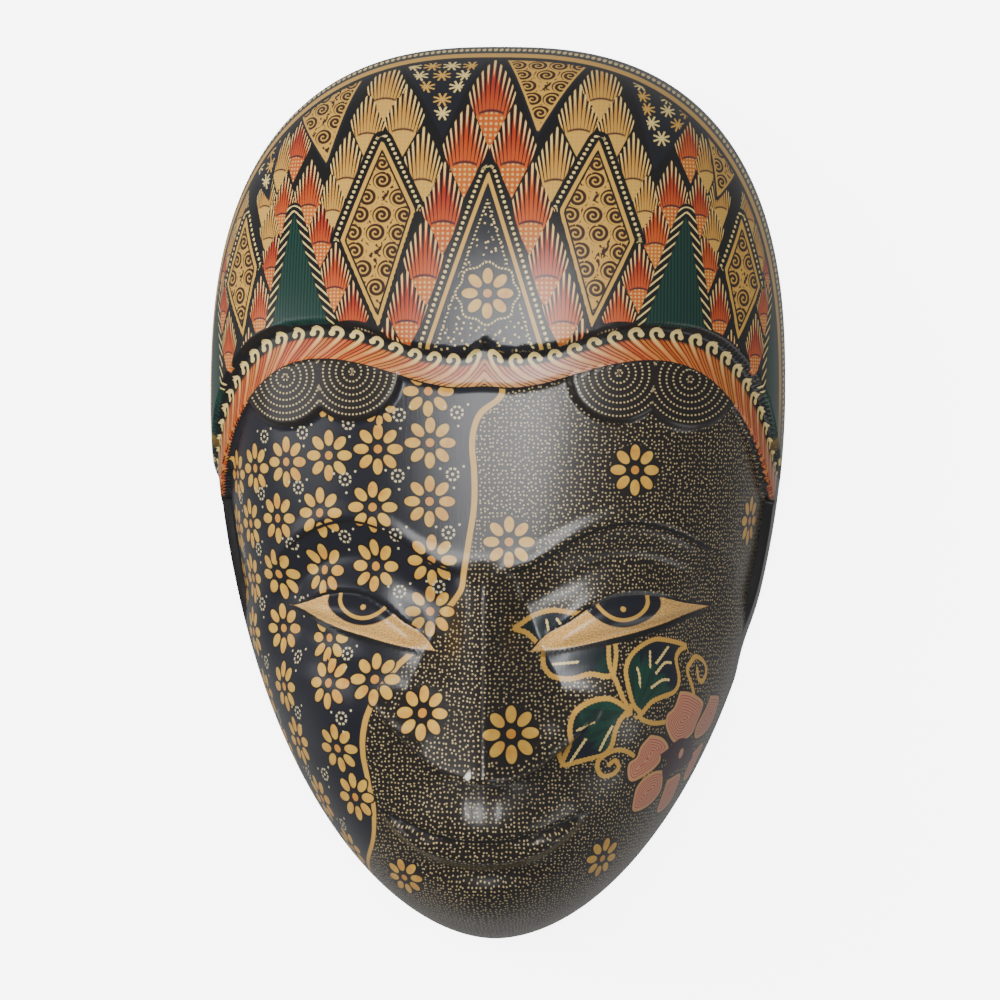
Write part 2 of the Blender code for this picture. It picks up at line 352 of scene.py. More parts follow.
    def chin(self, across: Array, level: Array) -> Array:
        """Relief of the chin: a crease under the lower lip over a round ball.

        Args:
            across: Steps from the middle line.
            level: Levels, in steps.

        Returns:
            Heights.
        """
        fall = level - self.lip_bottom + 1.8 - (across / 9.0) ** 2
        crease = -self.chin_crease * hump(fall, 3.0) * hump(across, 20.0)
        wide, tall = self.chin_reach
        ball = hump(np.hypot(across / wide, (level - self.chin_level) / tall), 1.0)
        return crease + self.chin_rise * ball

    def relief(self, x: Array, y: Array, z: Array) -> Array:
        """Carved height above the plain dome, in metres, for points of the dome.

        Args:
            x: Places across.
            y: Places along.
            z: Heights of the plain dome, in metres.

        Returns:
            A height for each point.
        """
        across = np.abs(x) * HALF_STEPS / (self.width / 2)
        level = y * HEIGHT_STEPS / self.height
        over_foot = level - line_level(self.crown_foot, across)
        over_band = level - line_level(self.band_foot, across)
        off_rim = ease(0.0, self.rim_fade, z)
        crown = self.crown_step * off_rim * ease(-self.soft, self.soft, over_foot)
        band = self.band_step * off_rim * ease(-self.soft, self.soft, over_band)
        nearest = np.full_like(across, HEIGHT_STEPS)
        for place, lobe_level, radius in self.lobes:
            nearest = np.minimum(nearest, np.hypot(across - place, level - lobe_level) - radius)
        lobes = self.lobe_step * ease(self.soft, -self.soft, nearest) * ease(0.3, -0.3, over_band)
        place, cheek_level = self.cheek
        wide, tall = self.cheek_reach
        cheek = hump(np.hypot((across - place) / wide, (level - cheek_level) / tall), 1.0)
        temple = ease(0.3, -0.3, over_band)
        temple = temple * ease(self.temple_foot, self.temple_foot + self.temple_fade, level)
        off_flap = ease(self.temple_back - self.flap_edge, self.temple_back, z)
        off_flap = off_flap * ease(self.temple_front, self.temple_back, z)
        plain = crown + band + lobes + self.cheek_rise * cheek
        features = self.nose(self.nose_steps(x, level), level) + self.eye(self.eye_steps(x, across), level)
        features = features + self.mouth(across, level) + self.chin(across, level)
        return plain + features - self.temple_inset * temple * off_flap


@dataclass
class Dome:
    """A dome's net of points: one in the middle, then rings of 8, 16, 24 and so on."""

    carving: Carving
    rings: int
    depth: float
    inset: float
    angle_samples: int = 720
    profile_samples: int = 240

    def points(self) -> Array:
        """Points of the net, in metres, at even steps along the dome's profile.

        Returns:
            The points, ring by ring from the middle.
        """
        angles = np.linspace(-math.pi, math.pi, self.angle_samples + 1)
        reach = self.carving.outline_reach(angles) - self.inset
        shares = np.sin(np.linspace(0.0, math.pi / 2, self.profile_samples + 1)) ** (1.0 / 1.4)
        heights = self.carving.dome_height(shares[None, :], angles[:, None], self.depth)
        steps = np.hypot(np.diff(shares)[None, :] * reach[:, None], np.diff(heights, axis=1))
        lengths = np.concatenate([np.zeros((len(angles), 1)), np.cumsum(steps, axis=1)], axis=1)
        lengths /= lengths[:, -1:]
        around = np.hypot(np.diff(reach * np.cos(angles)), np.diff(reach * np.sin(angles)))
        run = np.concatenate([[0.0], np.cumsum(around)])
        rows = [np.array([[0.0, self.carving.middle_y, self.depth]])]
        for ring in range(1, self.rings + 1):
            angle = np.interp(np.arange(8 * ring) / (8 * ring) * run[-1], run, angles)
            column = np.round((angle + math.pi) / (2 * math.pi) * self.angle_samples).astype(int)
            share = np.array([np.interp(ring / self.rings, lengths[row], shares) for row in column])
            away = np.interp(angle, angles, reach) * share
            height = self.carving.dome_height(share, angle, self.depth)
            y = self.carving.middle_y + away * np.sin(angle)
            rows.append(np.column_stack([away * np.cos(angle), y, height]))
        return np.concatenate(rows)

    def ring_start(self, ring: int) -> int:
        """Index of the first point of a ring."""
        return 0 if ring == 0 else 1 + 4 * ring * (ring - 1)

    def faces(self) -> Array:
        """Triangles between the rings, counter-clockwise from outside.

        Returns:
            Point numbers of each triangle.
        """
        faces = []
        for ring in range(1, self.rings + 1):
            inner, outer = self.ring_start(ring - 1), self.ring_start(ring)
            inner_count, outer_count = max(8 * (ring - 1), 1), 8 * ring
            for sector in range(8):
                for step in range(ring):
                    here = outer + sector * ring + step
                    after = outer + (sector * ring + step + 1) % outer_count
                    below = inner + (sector * (ring - 1) + step) % inner_count
                    faces.append((below, here, after))
                    if step < ring - 1:
                        beside = inner + (sector * (ring - 1) + step + 1) % inner_count
                        faces.append((below, after, beside))
        return np.array(faces)


def point_normals(points: Array, faces: Array) -> Array:
    """Unit normals of a triangle mesh at its points.

    Args:
        points: Points of the mesh.
        faces: Point numbers of each triangle.

    Returns:
        A normal for each point.
    """
    corners = points[faces]
    normal = np.cross(corners[:, 1] - corners[:, 0], corners[:, 2] - corners[:, 0])
    total = np.zeros_like(points)
    for corner in range(3):
        np.add.at(total, faces[:, corner], normal)
    return total / np.linalg.norm(total, axis=1, keepdims=True)


@dataclass
class Chart:
    """An unrolled map of the plain dome, in millimetres.

    Across is the length along a level section from the middle line. Along is the length
    along the middle line from the middle of the height, with + towards the crown.
    """

    carving: Carving
    level_rows: int = 240
    section_samples: int = 200

    def __post_init__(self) -> None:
        """Measure the sections once."""
        turn = np.linspace(-1.0, 1.0, self.level_rows + 1)
        self.levels = self.carving.height / 2 * np.sin(turn * math.pi / 2) * (1.0 - 1e-6)
        half = self.carving.half_width(self.levels)
        lean = np.linspace(0.0, math.pi / 2, self.section_samples + 1)
        x = half[:, None] * np.sin(lean)[None, :]
        y = np.broadcast_to(self.levels[:, None], x.shape)
        z = self.height_at(x, y)
        run = np.cumsum(np.hypot(np.diff(x, axis=1), np.diff(z, axis=1)), axis=1)
        run = np.concatenate([np.zeros((len(run), 1)), run], axis=1) / MM
        order = x / half[:, None] - z / self.carving.dome_depth
        self.least = order[:, 0]
        even = np.linspace(0.0, 1.0, self.section_samples + 1)
        share = (order - order[:, :1]) / (order[:, -1:] - order[:, :1])
        self.table = np.array([np.interp(even, share[row], run[row]) for row in range(len(run))])
        middle = np.cumsum(np.hypot(np.diff(self.levels), np.diff(z[:, 0]))) / MM
        middle = np.concatenate([[0.0], middle])
        self.along = middle - np.interp(0.0, self.levels, middle)

    def height_at(self, x: Array, y: Array) -> Array:
        """Height of the plain dome at places on the ground plan, in metres.

        Args:
            x: Places across.
            y: Places along.

        Returns:
            Heights.
        """
        angle = np.arctan2(y - self.carving.middle_y, x)
        samples = np.linspace(-math.pi, math.pi, 1441)
        reach = np.interp(angle, samples, self.carving.outline_reach(samples))
        share = np.clip(np.hypot(x, y - self.carving.middle_y) / reach, 0.0, 1.0)
        return self.carving.dome_height(share, angle, self.carving.dome_depth)

    def lay(self, points: Array) -> Array:
        """Chart places of points of the plain dome.

        Args:
            points: Points of the dome, in metres.

        Returns:
            Across and along for each point, in millimetres.
        """
        x, y, z = points.T
        half = np.maximum(self.carving.half_width(y), 1e-6)
        least = np.interp(y, self.levels, self.least)
        share = (np.minimum(np.abs(x) / half, 1.0) - z / self.carving.dome_depth - least)
        share = np.clip(share / (1.0 - least), 0.0, 1.0) * self.section_samples
        row = np.interp(y, self.levels, np.arange(len(self.levels)))
        low_row = np.clip(np.floor(row).astype(int), 0, len(self.levels) - 2)
        low_step = np.clip(np.floor(share).astype(int), 0, self.section_samples - 1)
        rise, part = row - low_row, share - low_step
        near = self.table[low_row, low_step] * (1 - part) + self.table[low_row, low_step + 1] * part
        far = self.table[low_row + 1, low_step] * (1 - part)
        far = far + self.table[low_row + 1, low_step + 1] * part
        across = np.sign(x) * (near * (1 - rise) + far * rise)
        return np.column_stack([across, np.interp(y, self.levels, self.along)])


def paint(red: int, green: int, blue: int) -> Colour:
    """Linear colour of a paint given as screen values from 0 to 255.

    Args:
        red: Red.
        green: Green.
        blue: Blue.

    Returns:
        Linear red, green, blue and 1.
    """
    parts = [part / 255.0 for part in (red, green, blue)]
    linear = [part / 12.92 if part <= 0.04045 else ((part + 0.055) / 1.055) ** 2.4 for part in parts]
    return (linear[0], linear[1], linear[2], 1.0)


class Feather(float, Enum):
    """Kinds of the crown's feathers, each with the number that its faces carry."""

    RED = 1.0
    GOLD = 2.0


class Motif(float, Enum):
    """Kinds of small motif in the crown's cells, each with the number that its faces carry."""

    SWIRL = 1.0
    PALE_STAR = 2.0
    GOLD_STAR = 2.4


class Stroke(float, Enum):
    """Kinds of drawn line, each with the number that its faces carry."""

    LINE = 1.0
    VEIN = 2.0


@dataclass(frozen=True)
class Palette:
    """Paints and dyes of the mask."""

    night: Colour = paint(20, 21, 30)
    umber: Colour = paint(24, 18, 14)
    umber_pale: Colour = paint(92, 82, 58)
    black: Colour = paint(13, 12, 14)
    cream: Colour = paint(222, 196, 122)
    straw: Colour = paint(198, 152, 66)
    amber: Colour = paint(190, 110, 34)
    ochre: Colour = paint(190, 136, 58)
    bark: Colour = paint(48, 26, 14)
    white: Colour = paint(206, 192, 150)
    red: Colour = paint(160, 40, 14)
    rust: Colour = paint(180, 70, 16)
    coral: Colour = paint(200, 98, 40)
    green: Colour = paint(14, 58, 46)
    forest: Colour = paint(8, 30, 27)
    rose: Colour = paint(196, 138, 108)
    plum: Colour = paint(50, 22, 34)
    dot: Colour = paint(190, 170, 124)
    spot_white: Colour = paint(228, 222, 208)
    eye_white: Colour = paint(232, 192, 122)
    petal: Colour = paint(208, 164, 66)
    teal: Colour = paint(13, 22, 34)


class Amount:
    """A number that varies over the surface, with the sums that painting needs."""

    def __init__(self, inks: Inks, socket: Socket) -> None:
        """Keep the socket that gives the number."""
        self.inks = inks
        self.socket = socket

    def __add__(self, other: Amount | float) -> Amount:
        """Sum of two numbers."""
        return self.inks.sum("ADD", self, other)

    def __sub__(self, other: Amount | float) -> Amount:
        """Difference of two numbers."""
        return self.inks.sum("SUBTRACT", self, other)

    def __rsub__(self, other: float) -> Amount:
        """Difference from a plain number."""
        return self.inks.sum("SUBTRACT", other, self)

    def __mul__(self, other: Amount | float) -> Amount:
        """Product of two numbers."""
        return self.inks.sum("MULTIPLY", self, other)

    def __truediv__(self, other: Amount | float) -> Amount:
        """Quotient of two numbers."""
        return self.inks.sum("DIVIDE", self, other)

    def size(self) -> Amount:
        """The number without its sign."""
        return self.inks.sum("ABSOLUTE", self)

    def lesser(self, other: Amount | float) -> Amount:
        """The smaller of two numbers."""
        return self.inks.sum("MINIMUM", self, other)

    def greater(self, other: Amount | float) -> Amount:
        """The larger of two numbers."""
        return self.inks.sum("MAXIMUM", self, other)

    def part(self) -> Amount:
        """What is left of the number above its whole part, less a half."""
        return self.inks.sum("FRACT", self) - 0.5

    def sine(self) -> Amount:
        """Sine of the number."""
        return self.inks.sum("SINE", self)

    def cosine(self) -> Amount:
        """Cosine of the number."""
        return self.inks.sum("COSINE", self)


class Inks:
    """Writes a material's nodes, in the order in which the paint is laid on."""

    def __init__(self, tree: bpy.types.NodeTree) -> None:
        """Start on an empty tree.

        Args:
            tree: The material's node tree.
        """
        self.tree = tree
        self.count = 0
        self.colour: Socket | Colour = BLANK

    def node(self, kind: str) -> bpy.types.Node:
        """A new node, placed in rows so that the tree stays readable.

        Args:
            kind: Blender's name for the kind of node.

        Returns:
            The node.
        """
        node = self.tree.nodes.new(kind)
        node.location = (180 * (self.count % 40), -220 * (self.count // 40))
        self.count += 1
        return node

    def link(self, source: Amount | Socket | Colour | float, target: Socket) -> None:
        """Feed a number, a place or a colour into a socket.

        Args:
            source: What is fed in.
            target: Socket that takes it.
        """
        plain = source.socket if isinstance(source, Amount) else source
        if isinstance(plain, Socket):
            self.tree.links.new(plain, target)
        else:
            target.default_value = plain

    def sum(self, operation: str, *terms: Amount | float) -> Amount:
        """One step of arithmetic.

        Args:
            operation: Blender's name for the step.
            terms: The numbers that it takes.

        Returns:
            The outcome.
        """
        node = self.node("ShaderNodeMath")
        node.operation = operation
        for index, term in enumerate(terms):
            self.link(term, node.inputs[index])
        return Amount(self, node.outputs[0])

    def rise(self, value: Amount, low: float, high: float) -> Amount:
        """Rise evenly from 0 at low to 1 at high, or fall where high is below low.

        Args:
            value: The number that the rise follows.
            low: Where it gives 0.
            high: Where it gives 1.

        Returns:
            The outcome.
        """
        node = self.node("ShaderNodeMapRange")
        self.link(value, node.inputs["Value"])
        node.inputs["From Min"].default_value = low
        node.inputs["From Max"].default_value = high
        return Amount(self, node.outputs["Result"])

    def stripe(self, value: Amount, half: float, soft: float) -> Amount:
        """1 within half of nothing on either side, 0 outside it."""
        return self.rise(value.size(), half + soft, half - soft)

    def read(self, name: str) -> tuple[Amount, Amount, Amount]:
        """The three numbers of a named layer of the mesh.

        Args:
            name: Name of the layer.

        Returns:
            The three numbers.
        """
        source = self.node("ShaderNodeAttribute")
        source.attribute_name = name
        split = self.node("ShaderNodeSeparateXYZ")
        self.link(source.outputs["Vector"], split.inputs[0])
        return tuple(Amount(self, split.outputs[index]) for index in range(3))

    def join(self, *parts: Amount | float) -> Socket:
        """A place made of up to three numbers.

        Args:
            parts: The numbers.

        Returns:
            Socket that gives the place.
        """
        node = self.node("ShaderNodeCombineXYZ")
        for index, part in enumerate(parts):
            self.link(part, node.inputs[index])
        return node.outputs[0]

    def coat(self, over: Socket | Colour, mask: Amount) -> None:
        """Lay a colour over the painting where the mask is 1."""
        self.colour = self.lay(self.colour, over, mask)

    def away(self, side: Amount, rise: Amount) -> Amount:
        """Length of the way made of two ways at right angles."""
        return self.sum("SQRT", side * side + rise * rise)

    def noise(self, place: Socket, scale: float, detail: float = 2.0) -> Amount:
        """Soft noise from 0 to 1.

        Args:
            place: Place to look at.
            scale: Waves to one unit.
            detail: Number of finer noises laid on it.

        Returns:
            The noise.
        """
        node = self.node("ShaderNodeTexNoise")
        self.link(place, node.inputs["Vector"])
        node.inputs["Scale"].default_value = scale
        node.inputs["Detail"].default_value = detail
        return Amount(self, node.outputs["Fac"])

    def dots(self, place: Socket, pitch: float, disorder: float) -> Amount:
        """Distance to the nearest of scattered dots, in parts of their pitch.

        Args:
            place: Place to look at.
            pitch: Spacing of the dots.
            disorder: From 0 for an even net to 1 for a full scatter.

        Returns:
            The distance.
        """
        node = self.node("ShaderNodeTexVoronoi")
        node.voronoi_dimensions = "2D"
        self.link(place, node.inputs["Vector"])
        node.inputs["Scale"].default_value = 1.0 / pitch
        node.inputs["Randomness"].default_value = disorder
        return Amount(self, node.outputs["Distance"])

    def polar(self, across: Amount, along: Amount) -> tuple[Amount, Amount]:
        """Distance from the middle, and angle in turns."""
        return self.away(across, along), self.sum("ARCTAN2", along, across) * (0.5 / math.pi)

    def lay(self, under: Socket | Colour, over: Socket | Colour,
            mask: Amount) -> Socket:
        """Lay one colour over another where the mask is 1.

        Args:
            under: Colour below.
            over: Colour above.
            mask: Share of the upper one.

        Returns:
            Socket that gives the new colour.
        """
        node = self.node("ShaderNodeMix")
        node.data_type = "RGBA"
        for slot, source in ((0, mask), (6, under), (7, over)):
            self.link(source, node.inputs[slot])
        return node.outputs[2]

    def shader(self, colour: Socket, roughness: float) -> bpy.types.Node:
        """The material's shader, joined to its output.

        Args:
            colour: Socket that gives the colour.
            roughness: Roughness all over.

        Returns:
            The shader's node.
        """
        shader = self.node("ShaderNodeBsdfPrincipled")
        output = self.node("ShaderNodeOutputMaterial")
        self.link(colour, shader.inputs["Base Color"])
        self.link(shader.outputs[0], output.inputs["Surface"])
        shader.inputs["Roughness"].default_value = roughness
        return shader


def polygon_edge(places: Array, corners: Curve) -> tuple[Array, Array]:
    """Signed distance from a polygon's edge, below 0 inside it, and the way along the edge.

    Args:
        places: Chart places.
        corners: Corners of the polygon.

    Returns:
        The distances, and the lengths along the nearest edge from its middle.
    """
    nearest = np.full(len(places), 1e9)
    run = np.zeros(len(places))
    inside = np.zeros(len(places), dtype=bool)
    spots = np.array(corners, dtype=float)
    for start, end in zip(spots, np.roll(spots, -1, axis=0)):
        edge = end - start
        size = np.linalg.norm(edge)
        along = (places - start) @ edge / size
        foot = np.clip(along, 0.0, size)[:, None] * edge / size
        away = np.linalg.norm(places - start - foot, axis=1)
        nearer = away < nearest
        nearest[nearer] = away[nearer]
        run[nearer] = along[nearer] - size / 2
        crosses = (start[1] > places[:, 1]) != (end[1] > places[:, 1])
        slope = (end[0] - start[0]) / (end[1] - start[1] if end[1] != start[1] else 1e-9)
        inside ^= crosses & (places[:, 0] < start[0] + slope * (places[:, 1] - start[1]))
    return np.where(inside, -nearest, nearest), run


def polygon_distance(places: Array, corners: Curve) -> Array:
    """Signed distance from a polygon's edge, below 0 inside it."""
    return polygon_edge(places, corners)[0]


def smooth_run(points: Curve, parts: int = 6) -> Array:
    """Points of a smooth curve through a few points, as a drawn stroke has them.

    Args:
        points: Points that the curve runs through.
        parts: Number of steps from each point to the next.

    Returns:
        Points of the curve, with the last one.
    """
    spots = np.array(points, dtype=float)
    padded = np.concatenate([[2 * spots[0] - spots[1]], spots, [2 * spots[-1] - spots[-2]]])
    share = np.linspace(0.0, 1.0, parts, endpoint=False)[:, None]
    rows = []
    for first, start, end, last in zip(padded, padded[1:], padded[2:], padded[3:]):
        bend = 2 * first - 5 * start + 4 * end - last
        twist = 3 * start - first - 3 * end + last
        rows.append(0.5 * (2 * start + (end - first) * share + bend * share ** 2 + twist * share ** 3))
    return np.concatenate(rows + [spots[-1:]])


@dataclass
class Skin:
    """The front's net as the painter sees it: chart places and faces of every corner."""

    base: Array
    places: Array
    carving: Carving
    faces: Array
    layers: dict[str, tuple[str, Array]] = field(default_factory=dict)

    def __post_init__(self) -> None:
        """Work out the levels of all points in steps."""
        self.steps = np.abs(self.base[:, 0]) * HALF_STEPS / (self.carving.width / 2)
        self.eye_steps = self.carving.eye_steps(self.base[:, 0], self.steps)
        self.height = self.base[:, 1] * HEIGHT_STEPS / self.carving.height
        self.middle_y = self.carving.middle_y / MM

    def face_places(self) -> Array:
        """Chart places of the middles of the faces."""
        return self.places[self.faces].mean(axis=1)

    def point_layer(self, name: str, *parts: Array) -> None:
        """Keep a smooth layer, with up to three numbers at each point.

        Args:
            name: Name of the layer.
            parts: Up to three rows of numbers.
        """
        values = np.zeros((len(self.places), 3))
        for index, part in enumerate(parts):
            values[:, index] = part
        self.layers[name] = ("POINT", values)

    def corner_layer(self, name: str, *parts: Array) -> None:
        """Keep a layer with up to three numbers at each face's own corners.

        Args:
            name: Name of the layer.
            parts: Up to three rows of numbers.
        """
        values = np.zeros((len(self.faces), 3, 3))
        for index, part in enumerate(parts):
            values[:, :, index] = part
        self.layers[name] = ("CORNER", values.reshape(-1, 3))

    def motif_layer(self, name: str, centres: Array, sizes: Array,
                    marks: Array, round_cells: bool = False) -> None:
        """Give each face its place in the nearest motif.

        Args:
            name: Name of the layer.
            centres: Chart places of the motifs' middles.
            sizes: Half width and half height of each motif, in millimetres.
            marks: A number that each motif carries along.
            round_cells: Whether motifs are round, and not diamonds.
        """
        middles = self.face_places()
        best = np.full(len(middles), 1e9)
        choice = np.zeros(len(middles), dtype=int)
        for index, (centre, size) in enumerate(zip(centres, sizes)):
            local = np.abs((middles - centre) / size)
            reach = np.hypot(*local.T) if round_cells else local.sum(axis=1)
            nearer = reach < best
            best[nearer], choice[nearer] = reach[nearer], index
        local = (self.places[self.faces] - centres[choice][:, None]) / sizes[choice][:, None]
        mark = np.broadcast_to(marks[choice][:, None], local.shape[:2])
        self.corner_layer(name, local[:, :, 0], local[:, :, 1], mark)

    def stroke_layer(self, name: str, strokes: list[tuple[Array, Stroke]]) -> None:
        """Give each face its distance from the nearest stroke, and the way along it.

        Args:
            name: Name of the layer.
            strokes: Points of each stroke, and its kind.
        """
        middles = self.face_places()
        corners = self.places[self.faces]
        best = np.full(len(middles), 1e9)
        off = np.full(corners.shape[:2], 99.0)
        run = np.zeros(corners.shape[:2])
        mark = np.zeros(corners.shape[:2])
        for points, kind in strokes:
            length = 0.0
            for number, (start, end) in enumerate(zip(points, points[1:])):
                edge = end - start
                size = np.linalg.norm(edge)
                along = edge / size
                normal = np.array([-along[1], along[0]])
                reach = (middles - start) @ along
                share = np.clip(reach, 0.0, size)
                away = np.linalg.norm(middles - start - share[:, None] * along, axis=1)
                nearer = (away < best) & (away < 6.0)
                best[nearer] = away[nearer]
                before = (reach < 0.0) & (number == 0)
                past_end = before | ((reach > size) & (number == len(points) - 2))
                local = corners[nearer] - start
                ahead = local @ along
                radial = np.linalg.norm(local - np.clip(ahead, 0.0, size)[:, :, None] * along, axis=2)
                off[nearer] = np.where(past_end[nearer][:, None], radial, local @ normal)
                run[nearer] = length + ahead
                mark[nearer] = kind
                length += size
        self.corner_layer(name, off, run, mark)

    def write(self, mesh: bpy.types.Mesh) -> None:
        """Put all layers on the mesh, whose first points and corners are the front's.

        Args:
            mesh: The shell's mesh.
        """
        for name, (domain, values) in self.layers.items():
            count = len(mesh.vertices) if domain == "POINT" else len(mesh.loops)
            layer = mesh.attributes.new(name, "FLOAT_VECTOR", domain)
            padded = np.zeros((count, 3), dtype=np.float32)
            padded[:len(values)] = values
            layer.data.foreach_set("vector", padded.ravel())


@dataclass
class Shell:
    """The carved mask as one closed mesh: a carved front, a flat back rim and a plain hollow."""

    carving: Carving
    hollow_rings: int = 48
    front_steps: int = 3

    def __post_init__(self) -> None:
        """Shape the front and the hollow once."""
        front_rings = self.hollow_rings * self.front_steps
        depth = self.carving.dome_depth
        front = Dome(self.carving, front_rings, depth, 0.0)
        hollow = Dome(self.carving, self.hollow_rings, depth - self.carving.front_wall,
                      self.carving.rim_width)
        self.base = front.points()
        self.front_faces = front.faces()
        normals = point_normals(self.base, self.front_faces)
        rim = front.ring_start(front_rings)
        normals[rim:, 2] = 0.0
        normals /= np.linalg.norm(normals, axis=1, keepdims=True)
        carved = self.base + normals * self.carving.relief(*self.base.T)[:, None]
        carved = np.clip(carved, CAD_BOX[0], CAD_BOX[1])
        count = len(carved)
        hollow_faces = count + hollow.faces()[:, ::-1]
        rim_faces = self.rim_faces(rim, count + hollow.ring_start(self.hollow_rings))
        self.points = np.concatenate([carved, hollow.points()])
        self.faces = np.concatenate([self.front_faces, hollow_faces, rim_faces])

    def rim_faces(self, front_rim: int, hollow_rim: int) -> Array:
        """Triangles of the flat back rim, from the fine front edge to the coarser hollow edge.

        Args:
            front_rim: First point of the front's edge.
            hollow_rim: First point of the hollow's edge.

        Returns:
            Point numbers of each triangle.
        """
        around = 8 * self.hollow_rings
        faces = []
        for step in range(around):
            inner = hollow_rim + step
            inner_after = hollow_rim + (step + 1) % around
            for part in range(self.front_steps):
                here = step * self.front_steps + part
                after = front_rim + (here + 1) % (around * self.front_steps)
                faces.append((front_rim + here, inner, after))
            faces.append((after, inner, inner_after))
        return np.array(faces)

    def mesh(self, name: str) -> bpy.types.Mesh:
        """A Blender mesh of the shell, smooth all over but for the edges of its rim.

        Args:
            name: Name of the mesh.

        Returns:
            The mesh.
        """
        mesh = bpy.data.meshes.new(name)
        mesh.from_pydata(self.points.tolist(), [], self.faces.tolist())
        mesh.shade_smooth()
        ends = np.zeros(2 * len(mesh.edges), dtype=np.int32)
        mesh.edges.foreach_get("vertices", ends)
        on_floor = (self.points[ends.reshape(-1, 2), 2] < 1e-6).all(axis=1)
        sharp = mesh.attributes.new("sharp_edge", "BOOLEAN", "EDGE")
        sharp.data.foreach_set("value", on_floor)
        return mesh


@dataclass(frozen=True)
class BakeMap:
    """Where the faces lie in the unit square: the front's chart, then the back beside it."""

    front_scale: float = 0.0034
    edge: float = 0.012
    back_middle: Pair = (0.855, 0.25)
    back_reach: Pair = (0.125, 0.20)
    rim_reach: float = 1.10

    def lay(self, shell: Shell, places: Array) -> Array:
        """Map places of all points of the shell.

        Args:
            shell: The mask's shell.
            places: Chart places of the front's points, in millimetres.

        Returns:
            A place in the unit square for each corner of each face.
        """
        front = (places - places.min(axis=0)) * self.front_scale + self.edge
        rings = shell.hollow_rings
        back = [np.array([self.back_middle])]
        for ring in range(1, rings + 1):
            back.append(self.circle(8 * ring, ring / rings))
        flat = np.concatenate([front] + back)
        corners = flat[shell.faces]
        count = 8 * rings * shell.front_steps
        outer = self.circle(count, self.rim_reach)
        rim_start = len(front) - count
        back_faces = len(shell.front_faces)
        is_rim = (shell.faces >= rim_start) & (shell.faces < len(front))
        is_rim[:back_faces] = False
        corners[is_rim] = outer[shell.faces[is_rim] - rim_start]
        return corners.reshape(-1, 2)

    def circle(self, count: int, reach: float) -> Array:
        """Even places round the middle of the back's map.

        Args:
            count: Number of places.
            reach: Distance in parts of the back's reach.

        Returns:
            The places.
        """
        angle = np.arange(count) / count * 2 * math.pi
        across = self.back_middle[0] + self.back_reach[0] * reach * np.cos(angle)
        along = self.back_middle[1] + self.back_reach[1] * reach * np.sin(angle)
        return np.column_stack([across, along])


@dataclass(frozen=True)
class Lamp:
    """A soft oblong light: its place and lengths in metres, and its power in watts."""

    name: str
    place: tuple[float, float, float]
    size: Pair
    power: float
    in_gloss: bool = True


